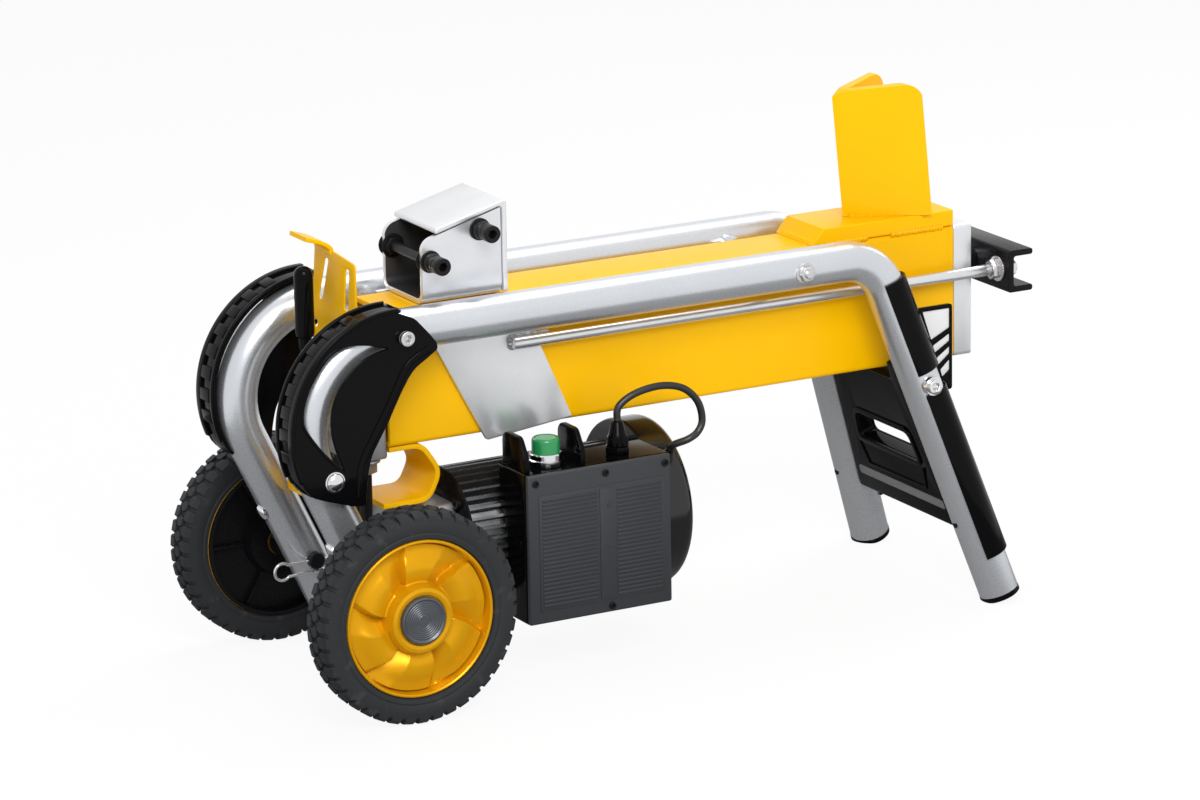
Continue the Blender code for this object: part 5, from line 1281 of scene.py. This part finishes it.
def make_fan_cover():
    """The fan cover with its rings and the lead's gland."""
    x0, x1 = FAN_COVER_X
    r, rounding, bore = FAN_COVER_RADIUS, FAN_COVER_ROUNDING, FAN_COVER_BORE
    profile = [(bore, x0), (bore, x0 + 0.0025), (0.012, x1 - 0.0060), (0.012, x1 - 0.003),
               (0.030, x1 - 0.0005)]
    profile += arc((r - rounding, x1 - rounding), rounding, 90, 0, 8)
    profile += [(r, x0 + 0.003), (r - 0.001, x0 + 0.0015), (r - 0.001, x0)]
    middle = Vector((0, MOTOR_Y, MOTOR_Z))
    bm = lathe(bmesh.new(), profile, middle, (1, 0, 0), 96, True)
    low, high = x1 - 0.0018, x1 + 0.0006
    for ring in FAN_RINGS:
        end = ring + FAN_RING_WIDTH
        lathe(bm, [(ring, low), (ring, high), (end, high), (end, low)], middle, (1, 0, 0), 72, True)
    start = Vector((LEAD_END_X, MOTOR_Y, MOTOR_Z)) + LEAD_OUTWARD * (r - 0.001)
    lathe(bm, LEAD_GLAND_PROFILE, start, LEAD_OUTWARD, 28)
    piece("fan_shroud", bm, FAN_PAINT, ["fan_cover"], angle=30)


def make_switch_box():
    """The switch box with its fins beside the button, and its ribbed cover with screws."""
    x0, x1 = BOX_X
    y0, y1 = BOX_Y
    z0, z1 = BOX_Z
    bed = arc((MOTOR_Y, MOTOR_Z), MOTOR_FIN_RADIUS + 0.0005, *BOX_BED_ANGLES, 24)
    bm = slab(bmesh.new(), [[(y0, z0), (y1, z0)] + bed + [(y1, z1), (y0, z1)]], x0, x1, "end", 0.0018, 3)
    for x in BOX_FINS_X:
        slab(bm, [softened(BOX_FIN, 0.004, 4)], x, x + BOX_FIN_WIDTH, "end", 0.0009, 2)
    block(bm, (x0 - 0.0012, BOX_TAB_Y[0], BOX_TAB_Z[0]), (x0 + 0.001, BOX_TAB_Y[1], BOX_TAB_Z[1]), 0.0008)
    piece("switch_housing", bm, GLOSS_BLACK, ["switch_box"])
    face = COVER_FACE_Y
    bm = block(bmesh.new(), (x0, face, z0), (x1, COVER_BACK_Y, z1), 0.0022)
    left, right = COVER_FIELD_X
    low, high = COVER_FIELD_Z
    block(bm, (left, face - 0.0007, low), (right, face + 0.002, high), 0.0006, 2)
    step = (high - low - 2 * COVER_RIB_MARGIN) / COVER_RIBS
    for first, last in COVER_COLUMNS:
        for k in range(COVER_RIBS):
            bottom, top = (low + COVER_RIB_MARGIN + step * (k + share) for share in COVER_RIB_SHARE)
            block(bm, (first, face - 0.0013, bottom), (last, face, top), 0.0006, 2)
    first, last = COVER_STRIP_X
    block(bm, (first, face - 0.0014, low + 0.002), (last, face, high - 0.002), 0.0006, 2)
    for z in COVER_DIMPLES_Z:
        lathe(bm, COVER_DIMPLE, (COVER_DIMPLE_X, face - 0.0013, z), (0, -1, 0), 24)
    piece("switch_lid", bm, SLATE, ["switch_cover"])
    bm = bmesh.new()
    for x, z in COVER_SCREWS:
        socket_screw(bm, (x, face + 0.0008, z), (0, -1, 0), *COVER_SCREW)
    piece("lid_screws", bm, OXIDE)


def make_button():
    """The chrome collar and the green button in it, with a paler top disc as a painted highlight."""
    middle = (*BUTTON_AT, 0)
    upward = (0, 0, 1)
    r, top, low = COLLAR_RADIUS, COLLAR_TOP_Z, BOX_Z[1] + GAP
    bore = BUTTON_RADIUS + 0.0004
    profile = [(bore, top - 0.0006), (bore + 0.0006, top), (r - 0.0022, top), (r - 0.0012, top - 0.001),
               (r - 0.0012, low + 0.0065), (r, low + 0.0058), (r, low + 0.0008), (r - 0.0006, low),
               (bore, low)]
    piece("button_ring", lathe(bmesh.new(), profile, middle, upward, 72, True), CHROME, ["button_collar"])
    base, top = BUTTON_Z
    r = BUTTON_RADIUS
    profile = [(0, top - 0.0012), (0.78 * r, top - 0.0012), (0.80 * r, top), (0.90 * r, top - 0.0003),
               (0.97 * r, top - 0.0014), (r, top - 0.003), (r, base), (0, base)]
    piece("button_cap", lathe(bmesh.new(), profile, middle, upward, 64), GREEN, ["start_button"], "button")
    # A paler disc on the button's top: a painted highlight.
    profile = [(0, top + 0.0002), (0.5 * r, top), (0.74 * r, top - 0.0006), (0.775 * r, top - 0.0012),
               (0.775 * r, top - 0.002), (0, top - 0.002)]
    piece("button_highlight_insert", lathe(bmesh.new(), profile, middle, upward, 64), GREEN_HIGHLIGHT_TOP, (), "button")


def make_lead():
    """The gland on the box and the short lead from it to the motor."""
    middle = Vector((*GLAND_AT, 0))
    box_top = BOX_Z[1]
    bm = slab(bmesh.new(), [hex_outline(GLAND_HEX)], box_top + GAP, box_top + GLAND_HEX_TOP, "top", 0.0008, 2,
              None, middle)
    lathe(bm, [(r, GLAND_TOP_Z - drop) for r, drop in GLAND], middle, (0, 0, 1), 40)
    for k, (x, y) in enumerate(circle(GLAND_AT, GLAND_RIB_RING, GLAND_RIBS)):
        at = Vector((x, y, GLAND_TOP_Z - GLAND_RIB_DROP))
        turn = Matrix.Rotation(2 * math.pi * k / GLAND_RIBS, 3, "Z")
        block(bm, at - GLAND_RIB_HALF, at + GLAND_RIB_HALF, 0.0006, 2, turn)
    piece("lead_gland", bm, GLOSS_BLACK, ["cable_gland"])
    end = Vector((LEAD_END_X, MOTOR_Y, MOTOR_Z)) + LEAD_OUTWARD * (FAN_COVER_RADIUS + GAP + LEAD_GLAND)
    route = smooth_route(list(LEAD_ROUTE) + [end + LEAD_OUTWARD * out for out in LEAD_LAST], 10)
    piece("short_lead", tube(route, LEAD_RADIUS, 20), PVC, ["motor_lead"])


def make_strip(label, side, plane):
    """The half shells round a rear leg, their slotted wing with its pale inserts, and a black disc on the
    leg, painted shade that stands for a hole.
    """
    outward = plane.col[2]
    bm = bmesh.new()
    shell = curved_strip((0, 0), STRIP_RADII, *STRIP_ANGLES[side], 28)
    for low_z, high_z in STRIP_Z:
        start, end = rear_leg(side, low_z), rear_leg(side, high_z)
        along = (end - start).normalized()
        turn = Matrix((along.cross(outward), outward, along)).transposed()
        slab(bm, [shell], 0.0, (end - start).length, "top", 0.0009, 2, turn, start)

    def behind_leg(z, reach):
        return (rear_leg(side, z).x + reach, z)

    low_z, high_z = WING_Z
    wing = [behind_leg(high_z, WING_ROOT), behind_leg(low_z, WING_ROOT), (WING_END_X, low_z),
            (WING_END_X, high_z)]
    end_x = WING_END_X - WING_CELL_MARGIN
    cells = []
    for low_z, high_z, end_low_z, end_high_z in WING_CELLS:
        cell = [behind_leg(low_z, WING_CELL_ROOT), (end_x, end_low_z), (end_x, end_high_z),
                behind_leg(high_z, WING_CELL_ROOT)]
        cells.append(softened(cell, 0.0012, 3))
    slab(bm, [softened(wing, 0.003, 3)] + cells, *span(side, *WING_Y), "side", 0.0006, 2)
    piece(label + "_strip", bm, GLOSS_BLACK, [label + "_leg_strip"])
    bm = bmesh.new()
    for cell in cells:
        slab(bm, [cell], *span(side, *WING_INSERT_Y), "side", 0.0003)
    piece(label + "_wing_inserts", bm, PALE_PLASTIC)
    # A black disc on the leg: painted shade standing for the dark inside of a hole.
    start = rear_leg(side, LEG_HOLE_Z) - Vector((LEG_HOLE_REACH, 0, 0))
    bm = lathe(bmesh.new(), LEG_HOLE, start, (-1, 0, 0), 24)
    piece(label + "_leg_hole", bm, BLACK_PAINT)


def make_panel(plane):
    """The moulded panel with its hand opening, rims, raised line, and a raised band in grey as a painted
    highlight.
    """
    stretch = Vector((REAR_CORNER_X - REAR_FOOT[0], RAIL_Z)).length / RAIL_Z
    corner = (REAR_CORNER_X, 0, RAIL_Z)

    def whole(half):
        """A closed outline in the panel's plane from its right half, given across and by height."""
        right = [(across, (z - RAIL_Z) * stretch) for across, z in half]
        return right + [(-across, upward) for across, upward in reversed(right)]

    def half_at(z):
        return rear_leg(1.0, z).y - TUBE_RADIUS - PANEL_CLEAR

    def on_both_faces(bm, outlines, relief, bevel, rounds):
        """A raised form on the panel's front and back."""
        for face in (-1, 1):
            first, last = span(face, thick + relief[0], thick + relief[1])
            slab(bm, outlines, first, last, "top", bevel, rounds, plane, corner)
        return bm

    low, high = PANEL_Z
    open_low, open_high = PANEL_OPENING_Z
    half, thick = PANEL_OPENING_HALF, PANEL_THICKNESS / 2
    edge = whole([(half_at(low), low), (half_at(PANEL_EAR_Z), PANEL_EAR_Z), (PANEL_EAR_Y, PANEL_EAR_Z),
                  (PANEL_EAR_Y, high)])
    edge = softened(edge, 0.004, 4)
    opening = whole([(half + PANEL_OPENING_FLARE, open_low), (half, open_high)])
    opening = softened(opening, PANEL_OPENING_CORNER, 6)
    bm = slab(bmesh.new(), [edge, opening], -thick, thick, "top", 0.0022, 3, plane, corner)
    margin, side = PANEL_RIM
    rim = whole([(half + side, open_low - margin), (half + PANEL_RIM_TOP, open_high + margin)])
    on_both_faces(bm, [softened(rim, 0.011, 6), opening], PANEL_RELIEF, 0.0008, 2)
    on_both_faces(bm, [whole(PANEL_LINE)], PANEL_RELIEF, 0.0006, 1)
    piece("lift_panel", bm, GLOSS_BLACK, ["rear_panel"])
    # The raised band is grey: a painted highlight where light catches a step on the panel.
    band = softened(whole([(half_at(z) - PANEL_BAND_INSET, z) for z in PANEL_BAND_Z]), 0.003, 4)
    piece("panel_highlight_band", on_both_faces(bmesh.new(), [band], PANEL_BAND_RELIEF, 0.0005, 1), HIGHLIGHT_GREY_PLASTIC)


# Camera, stage and light

def make_camera():
    """The camera at the photograph's angle."""
    level = math.cos(ELEVATION)
    back = Vector((math.sin(AZIMUTH) * level, -math.cos(AZIMUTH) * level, math.sin(ELEVATION)))
    right = Vector((math.cos(AZIMUTH), math.sin(AZIMUTH), 0))
    up = back.cross(right)
    rolled = right * math.cos(ROLL) + up * math.sin(ROLL)
    top = up * math.cos(ROLL) - right * math.sin(ROLL)
    data = bpy.data.cameras.new("camera")
    data.lens = LENS
    data.sensor_width = SENSOR
    data.sensor_fit = "HORIZONTAL"
    made = place_object("camera", data)
    turn = Matrix((rolled, top, back)).transposed().to_4x4()
    made.matrix_world = Matrix.Translation(CAMERA_TARGET + back * CAMERA_DISTANCE) @ turn
    bpy.context.scene.camera = made


def seen_share(tree):
    """1 for a ray that shows the background: from the camera, or by reflection or through glass."""
    path = add_node(tree, "LightPath")
    seen = path.outputs["Is Camera Ray"]
    for other in ("Is Glossy Ray", "Is Transmission Ray"):
        either = add_node(tree, "Math", {0: seen, 1: path.outputs[other]}, operation="MAXIMUM")
        seen = either.outputs["Value"]
    return seen


def stage_sheet(name, half, z, look):
    """A flat sheet that isn't part of the object."""
    bm = bmesh.new()
    bmesh.ops.create_grid(bm, x_segments=1, y_segments=1, size=1.0)
    bmesh.ops.scale(bm, vec=(*half, 1.0), verts=bm.verts)
    mesh = bpy.data.meshes.new(name)
    bm.to_mesh(mesh)
    bm.free()
    mesh.materials.append(look)
    made = place_object(name, mesh)
    made.location = (0, 0, z)
    return made


def make_floor():
    """A white floor that keeps a faint shadow."""
    look, tree = new_material("white_floor")
    matt = set_inputs(tree, tree.nodes["Principled BSDF"], {
        "Base Color": (FLOOR_GREY, FLOOR_GREY, FLOOR_GREY, 1), "Roughness": FLOOR_ROUGHNESS,
        "Specular IOR Level": 0.0})
    glow = add_node(tree, "Emission")
    share = add_node(tree, "Math", {0: seen_share(tree), 1: FLOOR_WHITE}, operation="MULTIPLY")
    blend = add_node(tree, "MixShader", {"Fac": share.outputs["Value"], 1: matt.outputs["BSDF"],
                                         2: glow.outputs["Emission"]})
    set_inputs(tree, tree.nodes["Material Output"], {"Surface": blend.outputs["Shader"]})
    stage_sheet("floor", FLOOR_HALF, 0.0, look)


def make_card():
    """A grey card under the machine that only shows in reflections."""
    look, tree = new_material("grey_card")
    glow = add_node(tree, "Emission", {"Strength": CARD_GREY})
    set_inputs(tree, tree.nodes["Material Output"], {"Surface": glow.outputs["Emission"]})
    card = stage_sheet("card", CARD_HALF, CARD_Z, look)
    for ray in ("camera", "diffuse", "transmission", "volume_scatter", "shadow"):
        setattr(card, "visible_" + ray, False)


def make_world():
    """A white background that lights the machine only a little."""
    world = bpy.data.worlds.new("studio")
    bpy.context.scene.world = world
    world.use_nodes = True
    tree = world.node_tree
    dim = set_inputs(tree, tree.nodes["Background"], {"Color": (1, 1, 1, 1), "Strength": WORLD_LIGHT})
    white = add_node(tree, "Background", {"Color": (1, 1, 1, 1)})
    blend = add_node(tree, "MixShader", {"Fac": seen_share(tree), 1: dim.outputs["Background"],
                                         2: white.outputs["Background"]})
    set_inputs(tree, tree.nodes["World Output"], {"Surface": blend.outputs["Shader"]})


def make_lights():
    """Soft area lamps that all look at the machine."""
    for name, place, size, power in LAMPS:
        data = bpy.data.lights.new(name, "AREA")
        data.shape = "SQUARE"
        data.size = size
        data.energy = power
        made = place_object(name, data)
        made.location = place
        made.rotation_euler = (LAMP_TARGET - Vector(place)).to_track_quat("-Z", "Y").to_euler()


make_camera()
make_floor()
make_card()
make_world()
make_lights()
make_beam()
make_wedge()
for label, side in SIDES.items():
    make_rail(label, side)
for label, side in SIDES.items():
    make_guard(label, side)
    make_wheel(label, side)
make_ram()
for label, side in SIDES.items():
    make_drawbar(label, side)
make_pusher()
for label, place in PUSHER_BOLTS.items():
    make_pusher_bolt(label, *place)
make_valve_block()
make_lever()
make_brackets()
make_motor()
make_switch_box()
make_button()
make_lead()
for label, side in SIDES.items():
    make_strip(label, side, leg_plane())
make_panel(leg_plane())

# Finishes of the nodes that are shown as they are
KEPT = {"cylinder_barrel": OXIDE, "lever_pin": FASTENER, "motor_rotor": OXIDE}
for name, look in KEPT.items():
    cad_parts[name].data.materials.clear()
    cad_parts[name].data.materials.append(look)

bpy.context.scene.view_settings.view_transform = "Standard"
